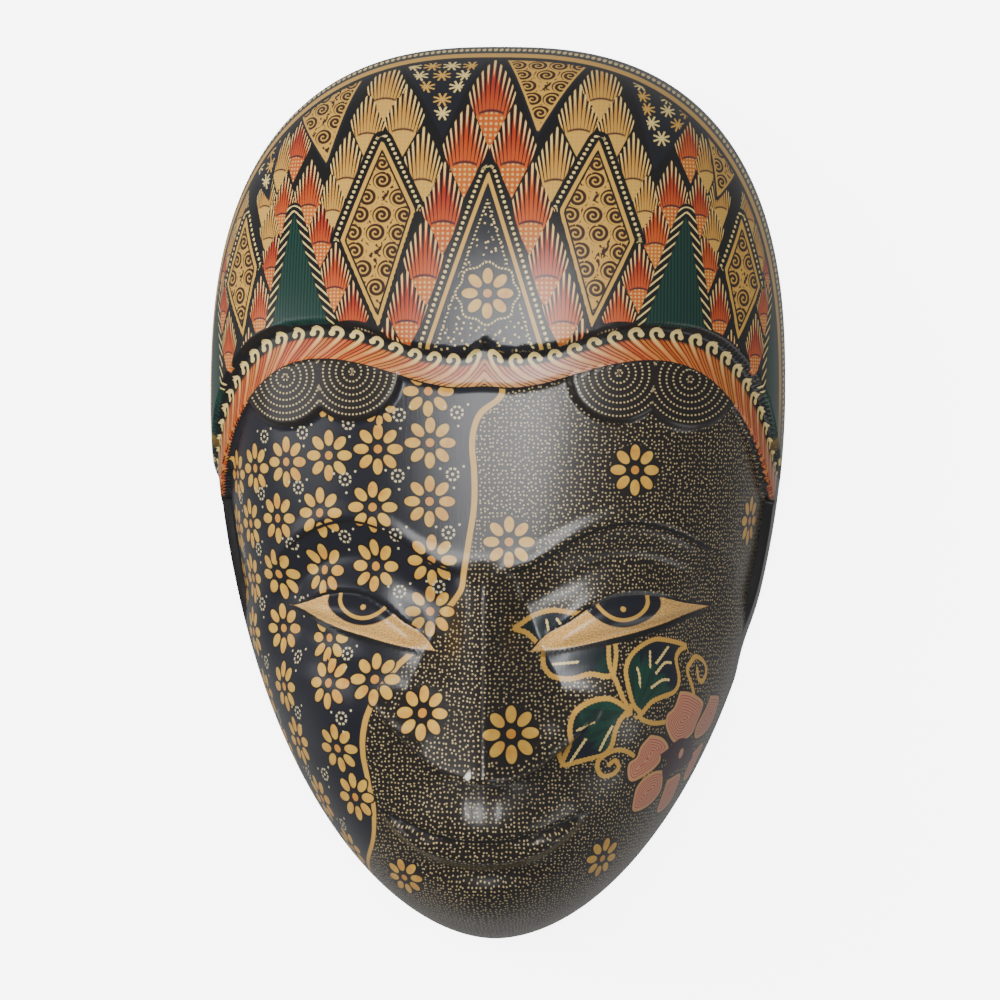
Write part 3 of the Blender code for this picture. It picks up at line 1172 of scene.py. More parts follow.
@dataclass(frozen=True)
class Studio:
    """The pale floor, the soft lights and the camera."""

    floor_size: float = 6.0
    floor_gap: float = 0.0001
    floor_shade: Colour = (0.88, 0.89, 0.90, 1.0)
    floor_glow: float = 6.0
    target: tuple[float, float, float] = (0.0009, -0.0016, 0.015)
    distance: float = 1.0
    turn: float = 3.5
    roll: float = 0.4
    frame_height: float = 0.2222
    sensor: float = 36.0
    world_strength: float = 0.32
    lamps: tuple[Lamp, ...] = (Lamp("key", (0.03, 0.42, 1.6), (0.36, 1.0), 16.5),
                               Lamp("side", (-1.3, 0.5, 1.1), (0.6, 0.6), 29.0, in_gloss=False),
                               Lamp("left_edge", (-0.9, 0.1, 0.35), (0.3, 0.8), 1.4),
                               Lamp("right_edge", (0.7, -0.45, 0.3), (0.3, 0.5), 0.8))

    def floor(self) -> bpy.types.Object:
        """A plain pale floor under the rim.

        Returns:
            The floor.
        """
        half, low = self.floor_size / 2, -self.floor_gap
        mesh = bpy.data.meshes.new("floor")
        corners = [(-half, -half, low), (half, -half, low), (half, half, low), (-half, half, low)]
        mesh.from_pydata(corners, [], [(0, 1, 2, 3)])
        material = bpy.data.materials.new("floor_paper")
        material.use_nodes = True
        shader = material.node_tree.nodes["Principled BSDF"]
        shader.inputs["Base Color"].default_value = self.floor_shade
        shader.inputs["Roughness"].default_value = 0.9
        shader.inputs["Emission Color"].default_value = (1.0, 1.0, 1.0, 1.0)
        shader.inputs["Emission Strength"].default_value = self.floor_glow
        mesh.materials.append(material)
        floor = bpy.data.objects.new("floor", mesh)
        bpy.context.scene.collection.objects.link(floor)
        floor.visible_glossy = False
        floor.visible_diffuse = False
        return floor

    def light(self, lamp: Lamp) -> bpy.types.Object:
        """A lamp aimed at the mask.

        Args:
            lamp: The lamp's place, lengths and power.

        Returns:
            The light.
        """
        data = bpy.data.lights.new(lamp.name, "AREA")
        data.shape = "RECTANGLE"
        data.size, data.size_y = lamp.size
        data.energy = lamp.power
        light = bpy.data.objects.new(lamp.name, data)
        light.location = lamp.place
        light.visible_glossy = lamp.in_gloss
        aim = Vector(self.target) - Vector(lamp.place)
        light.rotation_euler = aim.to_track_quat("-Z", "Y").to_euler()
        bpy.context.scene.collection.objects.link(light)
        return light

    def world(self) -> None:
        """Even light from all around."""
        world = bpy.data.worlds.new("studio")
        world.use_nodes = True
        background = world.node_tree.nodes["Background"]
        background.inputs["Color"].default_value = (1.0, 1.0, 1.0, 1.0)
        background.inputs["Strength"].default_value = self.world_strength
        bpy.context.scene.world = world

    def camera(self) -> bpy.types.Object:
        """A camera that looks down on the face, moved a little towards +X.

        Returns:
            The camera, which is now the scene's own.
        """
        data = bpy.data.cameras.new("camera")
        data.sensor_width = self.sensor
        data.lens = self.sensor * self.distance / self.frame_height
        camera = bpy.data.objects.new("camera", data)
        turn = math.radians(self.turn)
        away = Vector((math.sin(turn), 0.0, math.cos(turn)))
        camera.location = Vector(self.target) + self.distance * away
        camera.rotation_mode = "ZYX"
        camera.rotation_euler = (0.0, turn, math.radians(self.roll))
        bpy.context.scene.collection.objects.link(camera)
        bpy.context.scene.camera = camera
        return camera


@dataclass(frozen=True)
class Ground:
    """The two grounds: plain dark on one side of a gold line, dotted all over on the other."""

    palette: Palette
    line: Curve = ((3.5, 24), (3.5, 20.5), (-1, 16.5), (-2.5, 11), (-2, 4), (-2, -3), (-3, -10),
                   (-4, -17), (-4.5, -20.5), (-6.5, -23.5), (-9, -26.5), (-12, -29.5), (-15, -34),
                   (-19, -38), (-23, -44.5), (-25, -50), (-26, -57), (-25.5, -63), (-25, -69),
                   (-28, -77), (-38, -85), (-52, -96))
    line_half: float = 0.62
    dot_pitch: float = 0.92
    dot_reach: float = 0.20
    dot_disorder: float = 0.62

    def mark(self, skin: Skin) -> None:
        """Keep the chart and the distance from the gold line.

        Args:
            skin: The front's net.
        """
        points = smooth_run(self.line)
        order = np.argsort(points[:, 1])
        across, along = points[order].T
        place, level = skin.places.T
        slope = np.interp(level, along, np.gradient(across, along))
        divide = (place - np.interp(level, along, across)) / np.sqrt(1.0 + slope ** 2)
        skin.point_layer("chart", place, level, divide)

    def paint(self, inks: Inks) -> None:
        """Lay the grounds, the dots and the gold line.

        Args:
            inks: Writer of the nodes.
        """
        across, along, divide = inks.read("chart")
        place = inks.join(across, along)
        right = inks.rise(divide, -0.1, 0.1)
        inks.colour = inks.lay(self.palette.night, self.palette.umber, right)
        near = inks.dots(place, self.dot_pitch, self.dot_disorder)
        dots = inks.rise(near, self.dot_reach + 0.06, self.dot_reach - 0.06)
        _, _, nose = inks.read("creases")
        dots = dots * inks.rise(nose.size(), 0.9, 1.3)
        fade = inks.rise(inks.noise(place, 0.16), 0.2, 0.6) * 0.5 + 0.5
        inks.coat(self.palette.dot, dots * fade * inks.rise(divide, 0.7, 0.9))
        inks.coat(self.palette.straw, inks.stripe(divide, self.line_half, 0.08))


@dataclass(frozen=True)
class Flowers:
    """Eight-petalled flowers, set out in drooping rows."""

    palette: Palette
    rows: tuple[tuple[float, float, float, float, int], ...] = (
        (-11.5, 10.5, -11.3, -1.4, 6), (-11.5, -2, -12.4, -1.3, 6), (-11, -14.5, -13.4, -1.2, 6),
        (-51.5, -42.5, -16.5, -2, 2), (-50, -54.5, -15, -2, 2), (-47.5, -67.5, -14, -2, 2))
    centres: Curve = (
        (-12, 21.5), (-11.5, -25.5), (-36, -31.5),
        (-52.5, -30), (-68, -31), (-23, -40), (-34, -41), (-32.5, -55), (-30, -66), (-42, -79.5),
        (-56, -80), (0.5, 42), (32.5, 5), (5.5, -10.5), (72, -6), (-12, -46.5), (6.5, -50),
        (-20, -86), (30, -80.5))
    small: Curve = ((-22.5, 17.6), (-33.5, 18.6))
    reach: float = 5.6
    small_reach: float = 3.7
    petals: int = 8
    petal_middle: float = 0.67
    petal_length: float = 0.30
    petal_width: float = 0.19
    heart: float = 0.165

    def mark(self, skin: Skin) -> None:
        """Give every face its place in the nearest flower.

        Args:
            skin: The front's net.
        """
        spots = list(self.centres)
        for across, along, step, droop, count in self.rows:
            spots += [(across + place * step, along + place * droop) for place in range(count)]
        centres = np.array(spots + list(self.small))
        sizes = np.full((len(centres), 2), self.reach)
        sizes[len(spots):] = self.small_reach
        seeds = np.mod(np.arange(len(centres)) * 0.37, 1.0)
        skin.motif_layer("bloom", centres, sizes, seeds, round_cells=True)

    def paint(self, inks: Inks) -> None:
        """Lay petals and hearts with a thin dark edge.

        Args:
            inks: Writer of the nodes.
        """
        across, along, seed = inks.read("bloom")
        away, turn = inks.polar(across, along)
        fold = (turn * self.petals + 0.5).part() * (2 * math.pi / self.petals)
        side = away * fold.sine()
        out = away * fold.cosine() - self.petal_middle
        width = side * (1.0 / self.petal_width)
        length = out * (1.0 / self.petal_length)
        petal = inks.away(width, length)
        heart = away * (1.0 / self.heart)
        near = petal.lesser(heart)
        _, level, divide = inks.read("chart")
        bare = inks.rise(away, 1.02, 0.96) * inks.rise(divide, 0.6, 0.9) * inks.rise(level, 30.0, 28.0)
        inks.coat(self.palette.umber, bare)
        inks.coat(self.palette.black, inks.rise(near, 1.42, 1.22))
        tint = inks.lay(self.palette.petal, self.palette.amber, inks.rise(heart, 1.2, 1.0) * 0.6)
        shade = inks.rise(inks.noise(inks.join(across, along, seed), 2.2), 0.42, 0.70)
        tint = inks.lay(tint, self.palette.amber, shade * 0.55)
        inks.coat(tint, inks.rise(near, 1.06, 0.94))


@dataclass(frozen=True)
class Ringlets:
    """Small rings of dashes round a dot, between the flowers, and single dots."""

    palette: Palette
    centres: Curve = (
        (-5.8, 17.0), (-18.2, 16.4), (-29.5, 14.6), (-40.8, 12.6), (-52.6, 11.8), (-6.6, 3.8),
        (-18.4, 3.4), (-30.2, 2.6), (-42.0, 0.8), (-54.6, -0.6), (-67.0, -1.6), (-7.4, -8.6),
        (-18.8, -9.2), (-31.2, -9.8), (-44.6, -11.4), (-58.0, -12.8), (-71.0, -13.6),
        (-18.4, -21.2), (-9.6, -20.2), (-31.6, -23.6), (-45.6, -24.2), (-60.0, -24.8),
        (-46.0, -36.0), (-61.8, -37.6), (-30.4, -34.8), (-30.2, -48.2), (-46.4, -48.0),
        (-63.2, -49.8), (-40.0, -61.4), (-51.0, -61.8), (-64.0, -62.6), (-39.6, -73.2),
        (-52.0, -73.8), (-64.5, -75.0))
    reach: float = 2.0
    dash_count: int = 8
    ring_place: float = 0.62
    ring_half: float = 0.11
    outer_count: int = 3
    outer_place: float = 1.45

    def mark(self, skin: Skin) -> None:
        """Give every face its place in the nearest ringlet.

        Args:
            skin: The front's net.
        """
        centres = np.array(self.centres)
        sizes = np.full((len(centres), 2), self.reach)
        skin.motif_layer("ringlet", centres, sizes, np.ones(len(centres)), round_cells=True)

    def paint(self, inks: Inks) -> None:
        """Lay the dashes, their middle dot and three dots farther out.

        Args:
            inks: Writer of the nodes.
        """
        across, along, _ = inks.read("ringlet")
        away, turn = inks.polar(across, along)
        dash = inks.rise((turn * self.dash_count).part().size(), 0.36, 0.26)
        ring = inks.stripe(away - self.ring_place, self.ring_half, 0.05) * dash
        heart = inks.rise(away, 0.20, 0.12)
        outer = (turn * self.outer_count + 0.2).part() * (2 * math.pi / self.outer_count)
        side = inks.away(away - self.outer_place, away * outer)
        mask = ring.greater(heart).greater(inks.rise(side, 0.16, 0.10))
        inks.coat(self.palette.white, mask)


@dataclass(frozen=True)
class Crown:
    """The crown's cells: feather diamonds, swirls, stars, mountains and the middle triangle.

    Each list holds one side's cells; the other side mirrors them, with swirls and stars swapped
    between the triangles that hang from the rim.
    """

    palette: Palette
    triangle: Curve = ((0.0, 69.3), (12.4, 30.3), (14.4, 20.0), (-14.4, 20.0), (-12.4, 30.3))
    diamonds: tuple[Curve, ...] = (((23.0, 77.0), (15.2, 60.0), (22.3, 34.5), (31.0, 53.5)),
                                   ((58.0, 60.0), (52.0, 48.0), (56.0, 33.0), (64.0, 45.0)))
    hanging: tuple[Curve, ...] = (((1.0, 106.0), (22.0, 104.0), (10.0, 77.0)),
                                  ((28.0, 100.0), (47.0, 87.0), (35.0, 70.0)),
                                  ((49.0, 86.0), (61.0, 73.0), (50.0, 63.0)))
    mountains: tuple[Curve, ...] = (((42.5, 60.5), (33.0, 35.0), (32.0, 26.0), (48.0, 24.0),
                                     (47.0, 34.0)),
                                    ((72.0, 50.0), (67.0, 30.0), (66.0, 14.0), (82.0, 8.0),
                                     (77.0, 30.0)))
    red: tuple[tuple[float, float, float, float], ...] = (
        (0.0, 88.5, 5.2, 14.0), (5.1, 74.5, 5.0, 11.5), (9.3, 60.5, 4.9, 10.5),
        (12.8, 48.5, 4.7, 10.0), (16.4, 38.5, 4.6, 9.0), (20.4, 28.0, 4.6, 8.5),
        (43.5, 76.0, 3.8, 8.8), (39.0, 64.0, 3.9, 8.2), (35.4, 55.4, 3.8, 7.8),
        (32.0, 45.4, 3.8, 7.6), (27.8, 37.8, 3.9, 7.2), (45.6, 62.0, 3.4, 7.4),
        (47.6, 50.0, 3.4, 7.2), (50.6, 39.0, 3.6, 7.0), (54.0, 28.0, 3.6, 7.0),
        (62.0, 32.0, 3.6, 6.8), (65.6, 41.0, 3.4, 6.6), (68.4, 50.0, 3.2, 6.4),
        (24.6, 29.0, 3.6, 6.0))
    gold: tuple[tuple[float, float, float, float], ...] = (
        (23.2, 91.5, 4.7, 11.0), (18.7, 82.5, 4.6, 10.2), (14.2, 70.0, 4.5, 10.0),
        (26.4, 81.4, 4.2, 9.4), (30.4, 70.2, 4.1, 8.8), (33.2, 62.4, 3.4, 7.4),
        (47.8, 72.6, 3.6, 7.6), (51.4, 64.0, 3.4, 7.0), (49.0, 56.4, 3.2, 6.4),
        (61.4, 62.0, 3.4, 7.0), (64.6, 53.6, 3.4, 6.8))
    frame_half: float = 0.42
    bead_pitch: float = 1.25
    bead_reach: float = 0.36
    bead_row: float = 1.25
    edge_row: float = 2.1
    edge_pitch: float = 0.95
    tint_step: float = 0.1
    tints: int = 4
    quills: float = 9.5
    green_lines: float = 1.35
    star_rays: int = 8
    cloud_dashes: int = 56
    bare_squeeze: float = 2.8
    feather_share: float = 1.06
    swirl_pitch: float = 4.3
    edge_stretch: float = 1.07

    def sides(self, cells: tuple[Curve, ...]) -> list[Curve]:
        """Cells of both sides."""
        mirrored = [tuple((-across, along) for across, along in cell) for cell in cells]
        return list(cells) + mirrored

    def nearest(self, skin: Skin, cells: list[Curve]) -> Array:
        """Distance from the nearest cell's edge, below 0 inside it."""
        return np.min([polygon_distance(skin.places, cell) for cell in cells], axis=0)

    def bead_run(self, skin: Skin) -> Array:
        """The way along the edges that carry beads, and nothing along those that don't.

        Args:
            skin: The front's net.

        Returns:
            A length for each point, or BARE.
        """
        nearest = np.full(len(skin.places), 1e9)
        run = np.zeros(len(skin.places))
        for cell in [self.triangle] + self.sides(self.diamonds):
            off, along = polygon_edge(skin.places, cell)
            off = np.abs(off)
            corners = np.array(cell)
            low = corners[np.abs(corners[:, 0]).argsort()[[0, -1]], 1].min()
            if len(cell) == 4:
                across = skin.places[:, 0]
                inner, outer = sorted((corners[1], corners[3]), key=lambda spot: spot[0])
                share = (across - inner[0]) / (outer[0] - inner[0])
                low = inner[1] + (outer[1] - inner[1]) * share
            along = np.where(skin.places[:, 1] > low, along, BARE)
            nearer = off < nearest
            nearest[nearer], run[nearer] = off[nearer], along[nearer]
        return run

    def fill(self, cell: Curve, inset: float) -> list[Pair]:
        """Middles of small motifs in rows across a cell.

        Args:
            cell: The cell's corners.
            inset: Least distance of a middle from the cell's edge.

        Returns:
            The middles that lie inside.
        """
        corners = np.array(cell)
        low, high = corners[:, 1].min(), corners[:, 1].max()
        count = max(int((high - low) / (self.swirl_pitch * 0.92)), 1)
        middles = []
        for row in range(count):
            along = high - inset - row * self.swirl_pitch * 0.93
            tries = np.linspace(corners[:, 0].min(), corners[:, 0].max(), 120)
            spots = np.column_stack([tries, np.full_like(tries, along)])
            inside = tries[polygon_distance(spots, cell) < -inset]
            if len(inside) == 0:
                continue
            width = inside[-1] - inside[0]
            number = 1 + int(width / (self.swirl_pitch * 0.97))
            share = (np.arange(number) + 0.5) / number if number > 1 else np.array([0.5])
            spread = (share - 0.5) * (1.0 if number == 1 else number / (number - 1.0))
            middles += [(inside[0] + width * (0.5 + part), along) for part in spread]
        return middles

    def mark(self, skin: Skin) -> None:
        """Keep the cells' distances and each face's place in its feather, swirl or star.

        Args:
            skin: The front's net.
        """
        frames = self.nearest(skin, [self.triangle] + self.sides(self.diamonds))
        hanging = self.nearest(skin, self.sides(self.hanging))
        mountains = self.nearest(skin, self.sides(self.mountains))
        bead_run = self.bead_run(skin)
        bare = (bead_run == BARE) & (frames > 0.0)
        frames = np.where(bare, frames * self.bare_squeeze, frames)
        bead_run = np.where(bead_run == BARE, self.bead_pitch / 2, bead_run)
        skin.point_layer("cells", frames, hanging, mountains)
        triangle = polygon_distance(skin.places, self.triangle)
        golden = []
        starry = []
        for index, cell in enumerate(self.sides(self.hanging)):
            (starry if index in (1, 3, 5) else golden).append(cell)
        golden_off = self.nearest(skin, golden)
        skin.point_layer("cell_kinds", triangle, golden_off, bead_run)
        feathers, sizes, marks = [], [], []
        for kind, cells in ((Feather.RED, self.red), (Feather.GOLD, self.gold)):
            for across, along, width, length in cells:
                for side in ((1.0, -1.0) if across > 0.0 else (1.0,)):
                    feathers.append((side * across, along))
                    sizes.append((width * self.feather_share, length * self.feather_share))
                    marks.append(kind + self.tint_step * (len(marks) % self.tints))
        skin.motif_layer("feather", np.array(feathers), np.array(sizes), np.array(marks))
        middles, kinds, stars = [], [], (Motif.PALE_STAR, Motif.GOLD_STAR)
        for cell in self.sides(self.diamonds) + golden:
            spots = self.fill(cell, 1.9)
            middles += spots
            kinds += [Motif.SWIRL] * len(spots)
        for cell in starry:
            spots = self.fill(cell, 2.0)
            middles += spots
            kinds += [stars[index % len(stars)] for index in range(len(spots))]
        sizes = np.full((len(middles), 2), self.swirl_pitch / 2)
        skin.motif_layer("swirl", np.array(middles), sizes, np.array(kinds, dtype=float),
                         round_cells=True)

    def paint(self, inks: Inks) -> None:
        """Lay the crown's paints from the ground up.

        Args:
            inks: Writer of the nodes.
        """
        palette = self.palette
        self.feathers(inks)
        frames, hanging, mountains = inks.read("cells")
        triangle, golden, bead_run = inks.read("cell_kinds")
        across, along, _ = inks.read("chart")
        self.mountain(inks, mountains, across, along)
        inside = inks.rise(hanging, 0.1, -0.1)
        inks.coat(palette.night, inside)
        inks.coat(palette.black, inks.rise(frames, 2.5, 2.3))
        gold_mask = inks.rise(golden, -0.5, -0.7)
        diamond = inks.rise(frames, -1.1, -1.25) * inks.rise(triangle, 0.0, 0.2)
        inks.coat(palette.straw, gold_mask.greater(diamond))
        self.swirls(inks, hanging.lesser(frames), triangle)
        self.middle(inks, triangle, across, along)
        run = (bead_run * (1.0 / self.bead_pitch) + 0.5).part() * self.bead_pitch
        beads = inks.away(run, frames - self.bead_row)
        mask = inks.rise(beads, self.bead_reach + 0.06, self.bead_reach - 0.06)
        inks.coat(palette.cream, mask)
        inks.coat(palette.straw, inks.stripe(frames + 0.35, self.frame_half, 0.06))

    def feathers(self, inks: Inks) -> None:
        """Lay the feather diamonds: spread tips over a body, and a dotted point under them.

        Args:
            inks: Writer of the nodes.
        """
        palette = self.palette
        across, along, kind = inks.read("feather")
        side = across.size()
        top = side + along - (side * along).greater(0.0) * 0.3
        low = side - along
        golden = inks.rise(kind, 1.4, 1.6)
        orange = (kind - 1.0) * 3.0 * (1.0 - golden)
        fan = across / (along + 1.6)
        lines = (fan * self.quills + 0.5).part().size()
        body = inks.lay(inks.lay(palette.red, palette.rust, orange), palette.ochre, golden)
        light = inks.rise(along, 0.3, -0.25) * 0.45
        body = inks.lay(body, inks.lay(palette.coral, palette.straw, golden), light)
        inside = inks.rise(low, 0.97, 0.92)
        inks.colour = inks.lay(palette.black, body, inks.rise(top, 1.0, 0.95) * inside)
        gap = inks.rise(lines + inks.rise(top, 0.0, 1.0) * 0.25, 0.42, 0.47)
        inks.coat(palette.black, gap)
        reach = inks.rise(top, 0.35, 0.8) * 0.19 - 0.02
        stroke = inks.rise(lines - reach, 0.03, -0.03) * inks.rise(top, 1.0, 0.96) * inside
        inks.coat(palette.cream, stroke * inks.rise(top, 0.4, 0.55))
        bow = along + side * side * 0.25
        point = inks.rise(bow, -0.26, -0.29) * inside
        dots = inks.dots(inks.join(across * 3.6, along * 7.2), 0.72, 0.1)
        grain = inks.rise(dots, 0.34, 0.22)
        base = inks.lay(inks.lay(palette.rust, palette.amber, orange * 0.5 + 0.3), palette.straw, golden)
        base = inks.lay(base, palette.cream, grain * (0.65 - golden * 0.45))
        inks.coat(base, point)
        arc = inks.stripe(bow + 0.25, 0.025, 0.02) * inks.rise(side, 0.5, 0.44)
        inks.coat(palette.plum, arc)

    def mountain(self, inks: Inks, off: Amount, across: Amount, along: Amount) -> None:
        """Lay a green mountain with fine upright lines and pale spikes along its edges.

        Args:
            inks: Writer of the nodes.
            off: Distance from the nearest mountain's edge.
            across: Chart place across.
            along: Chart place along.
        """
        palette = self.palette
        inks.coat(palette.black, inks.rise(off, 2.1, 1.9))
        lines = (across * self.green_lines).part().size()
        green = inks.lay(palette.green, palette.forest, inks.rise(lines, 0.30, 0.16))
        inks.coat(green, inks.rise(off, 0.1, -0.1))
        spike = (along * 0.42 + off * 0.55).part().size()
        mask = inks.rise(spike, 0.17, 0.10) * inks.rise((off - 1.0).size(), 1.0, 0.8)
        inks.coat(palette.cream, mask)

    def swirls(self, inks: Inks, off: Amount, triangle: Amount) -> None:
        """Lay dark swirls on the gold cells and stars on the dark ones.

        Args:
            inks: Writer of the nodes.
            off: Distance from the nearest cell's edge.
            triangle: Distance from the middle triangle's edge.
        """
        palette = self.palette
        across, along, kind = inks.read("swirl")
        away, turn = inks.polar(across, along)
        starry = inks.rise(kind, 1.4, 1.6)
        coil = inks.stripe((away * 2.0 - turn).part(), 0.33, 0.07)
        coil = coil * inks.rise(away, 1.0, 0.94) * (1.0 - starry)
        rest = inks.rise(inks.noise(inks.join(across * 1.6, along * 1.6), 1.0, 0.0), 0.50, 0.56)
        rest = rest * inks.rise(away, 1.10, 1.16) * (1.0 - starry)
        bounds = inks.rise(off, -1.0, -1.2) * inks.rise(triangle, 0.0, 0.2)
        inks.coat(palette.bark, coil.greater(rest) * bounds)
        ray = (turn * self.star_rays).part() * (2 * math.pi / self.star_rays) * away
        star = inks.rise(ray.size(), 0.14, 0.07) * inks.rise(away, 0.98, 0.9) * starry
        tint = inks.lay(palette.cream, palette.straw, inks.rise(kind, 2.1, 2.3))
        inks.coat(tint, star * bounds)

    def middle(self, inks: Inks, off: Amount, across: Amount, along: Amount) -> None:
        """Lay the middle triangle: slate with sprinkled dots, and its flower.

        Args:
            inks: Writer of the nodes.
            off: Distance from the triangle's edge.
            across: Chart place across.
            along: Chart place along.
        """
        palette = self.palette
        inks.coat(palette.night, inks.rise(off, -0.7, -0.9))
        place = inks.join(across, along)
        near = inks.dots(place, 1.35, 0.95)
        spots = inks.rise(near, 0.22, 0.13) * inks.rise(inks.noise(place, 0.35), 0.42, 0.5)
        run = (along * (self.edge_stretch / self.edge_pitch)).part() * self.edge_pitch
        row = inks.away(run, off + self.edge_row)
        spots = spots.greater(inks.rise(row, 0.26, 0.16)) * inks.rise(off, -1.6, -1.8)
        bloom_across, bloom_along, _ = inks.read("bloom")
        away, turn = inks.polar(bloom_across, bloom_along)
        spots = spots * inks.rise(away, 1.25, 1.3)
        scallop = away - (turn * (8 * 2 * math.pi)).cosine() * 0.07
        dashes = inks.rise((turn * self.cloud_dashes).part().size(), 0.36, 0.24)
        ring = inks.stripe(scallop - 1.14, 0.035, 0.02) * dashes * inks.rise(off, -1.0, -1.2)
        inks.coat(palette.cream, spots.greater(ring))


@dataclass(frozen=True)
class Band:
    """The painted band under the crown: hook heads with sweeping coloured tails."""

    palette: Palette
    pitch: float = 4.4
    sweep: float = 6.4
    head_level: float = 0.79
    head_reach: float = 1.05
    head_stretch: float = 8.2
    hook_half: float = 0.46
    blob_reach: float = 0.67
    tail_count: float = 4.0
    tail_bend: float = 1.5

    def mark(self, skin: Skin) -> None:
        """Keep the way along the band, the share of its height and the distance below it.

        Args:
            skin: The front's net.
        """
        across, carving = skin.steps, skin.carving
        foot = line_level(carving.crown_foot, across)
        low = line_level(carving.band_foot, across)
        share = (skin.height - low) / (foot - low)
        place, level = skin.places[:, 0], skin.places[:, 1]
        on_band = np.abs(share - 0.5) < 0.35
        order = np.argsort(np.abs(place[on_band]))
        across_mid = np.abs(place[on_band])[order]
        level_mid = level[on_band][order]
        samples = np.linspace(0.0, across_mid[-1], 90)
        middle = np.interp(samples, across_mid, np.convolve(level_mid, np.ones(61) / 61, "same"))
        middle[:3] = middle[3]
        middle[-4:] = middle[-5]
        slope = np.gradient(middle, samples)
        run = np.concatenate([[0.0], np.cumsum(np.hypot(np.diff(samples), np.diff(middle)))])
        lean = np.interp(np.abs(place), samples, slope / np.sqrt(1.0 + slope ** 2))
        along = np.interp(np.abs(place), samples, run)
        along += (level - np.interp(np.abs(place), samples, middle)) * lean
        skin.point_layer("band", along, share, skin.height - low)
        skin.point_layer("foot", skin.height - foot, place)

    def paint(self, inks: Inks) -> None:
        """Lay the dark ground, the coloured tails, the pale heads and painted shade at the foot.

        Args:
            inks: Writer of the nodes.
        """
        palette = self.palette
        run, share, over = inks.read("band")
        above, across, _ = inks.read("foot")
        drop = (1.0 - share * (1.0 / self.head_level)).greater(0.0)
        bent = inks.sum("POWER", drop, self.tail_bend) * self.sweep
        phase = (run - bent) * (1.0 / self.pitch)
        part = phase.part()
        strokes = (phase * self.tail_count).part().size()
        seed = inks.sum("FLOOR", phase * self.tail_count)
        pick = inks.noise(inks.join(seed, across * 0.004), 0.83, 0.0)
        warm = inks.lay(palette.rust, palette.amber, inks.rise(pick, 0.42, 0.5))
        warm = inks.lay(warm, palette.coral, inks.rise(pick, 0.54, 0.6))
        light = inks.rise(share, 0.40, 0.02) * inks.rise(across.size(), 26.0, 8.0) * 0.4
        rosy = inks.rise(across, -4.0, 10.0) * inks.rise(across, 32.0, 18.0) * 0.5
        warm = inks.lay(warm, palette.cream, light)
        warm = inks.lay(warm, palette.rose, rosy)
        tails = inks.rise(strokes, 0.40, 0.32) * inks.rise(share, 0.66, 0.58)
        inside = inks.rise(over, 0.0, 0.2) * inks.rise(above, 0.1, -0.1)
        inks.coat(palette.black, inside)
        inks.coat(warm, tails * inside)
        main = inks.stripe(part + 0.25, 0.11, 0.03) * inks.rise(share, 0.8, 0.76)
        side = (run * (1.0 / self.pitch)).part() * self.pitch
        rise = (share - self.head_level) * self.head_stretch
        away = inks.away(side, rise)
        hook = inks.stripe(away - self.head_reach, self.hook_half, 0.06) * inks.rise(rise, -0.3, -0.1)
        blob_side = side - self.head_reach
        blob_rise = rise + 0.15
        blob = inks.away(blob_side, blob_rise)
        blob_mask = inks.rise(blob, self.blob_reach + 0.05, self.blob_reach - 0.05)
        head = hook.greater(blob_mask).greater(main)
        tint = inks.lay(palette.cream, warm, inks.rise(share, 0.72, 0.25) * 0.8)
        inks.coat(tint, head * inside)
        # Painted shade: a thin dark line along the band's carved foot.
        inks.coat(palette.black, inks.stripe(over, 0.16, 0.06))


@dataclass(frozen=True)
class Lobes:
    """Rings of dots on the carved lobes under the band."""

    palette: Palette
    ring_pitch: float = 1.4
    dot_pitch: float = 0.78
    dot_reach: float = 0.20

    def mark(self, skin: Skin) -> None:
        """Keep the distance and the turn from the nearest lobe's middle.

        Args:
            skin: The front's net.
        """
        best = np.full(len(skin.steps), HEIGHT_STEPS)
        away, turn = best.copy(), best.copy()
        for place, level, radius in skin.carving.lobes:
            across, along = skin.steps - place, skin.height - level
            distance = np.hypot(across, along)
            nearer = distance - radius < best
            best[nearer] = (distance - radius)[nearer]
            away[nearer] = distance[nearer]
            turn[nearer] = (np.arctan2(across, -along) / (2 * math.pi))[nearer]
        skin.point_layer("lobe", away, turn, best)

    def paint(self, inks: Inks) -> None:
        """Lay the painted shade round the lobes' foot, the dark lobes and their rings of dots.

        Args:
            inks: Writer of the nodes.
        """
        away, turn, off = inks.read("lobe")
        inside = inks.rise(off, 0.1, -0.1)
        # Painted shade: a thin dark ring at the foot of the lobe's carved step.
        inks.coat(self.palette.black, inks.rise(off, 0.3, 0.15))
        inks.coat(self.palette.umber, inside)
        ring = inks.sum("FLOOR", away * (1.0 / self.ring_pitch)) + 0.5
        count = inks.sum("ROUND", ring * (2 * math.pi * self.ring_pitch / self.dot_pitch))
        side = (turn * count).part() * self.dot_pitch
        out = (away * (1.0 / self.ring_pitch)).part() * self.ring_pitch
        near = inks.away(side, out)
        dots = inks.rise(near, self.dot_reach + 0.05, self.dot_reach - 0.05)
        inks.coat(self.palette.dot, dots * inks.rise(off, -0.6, -0.8))


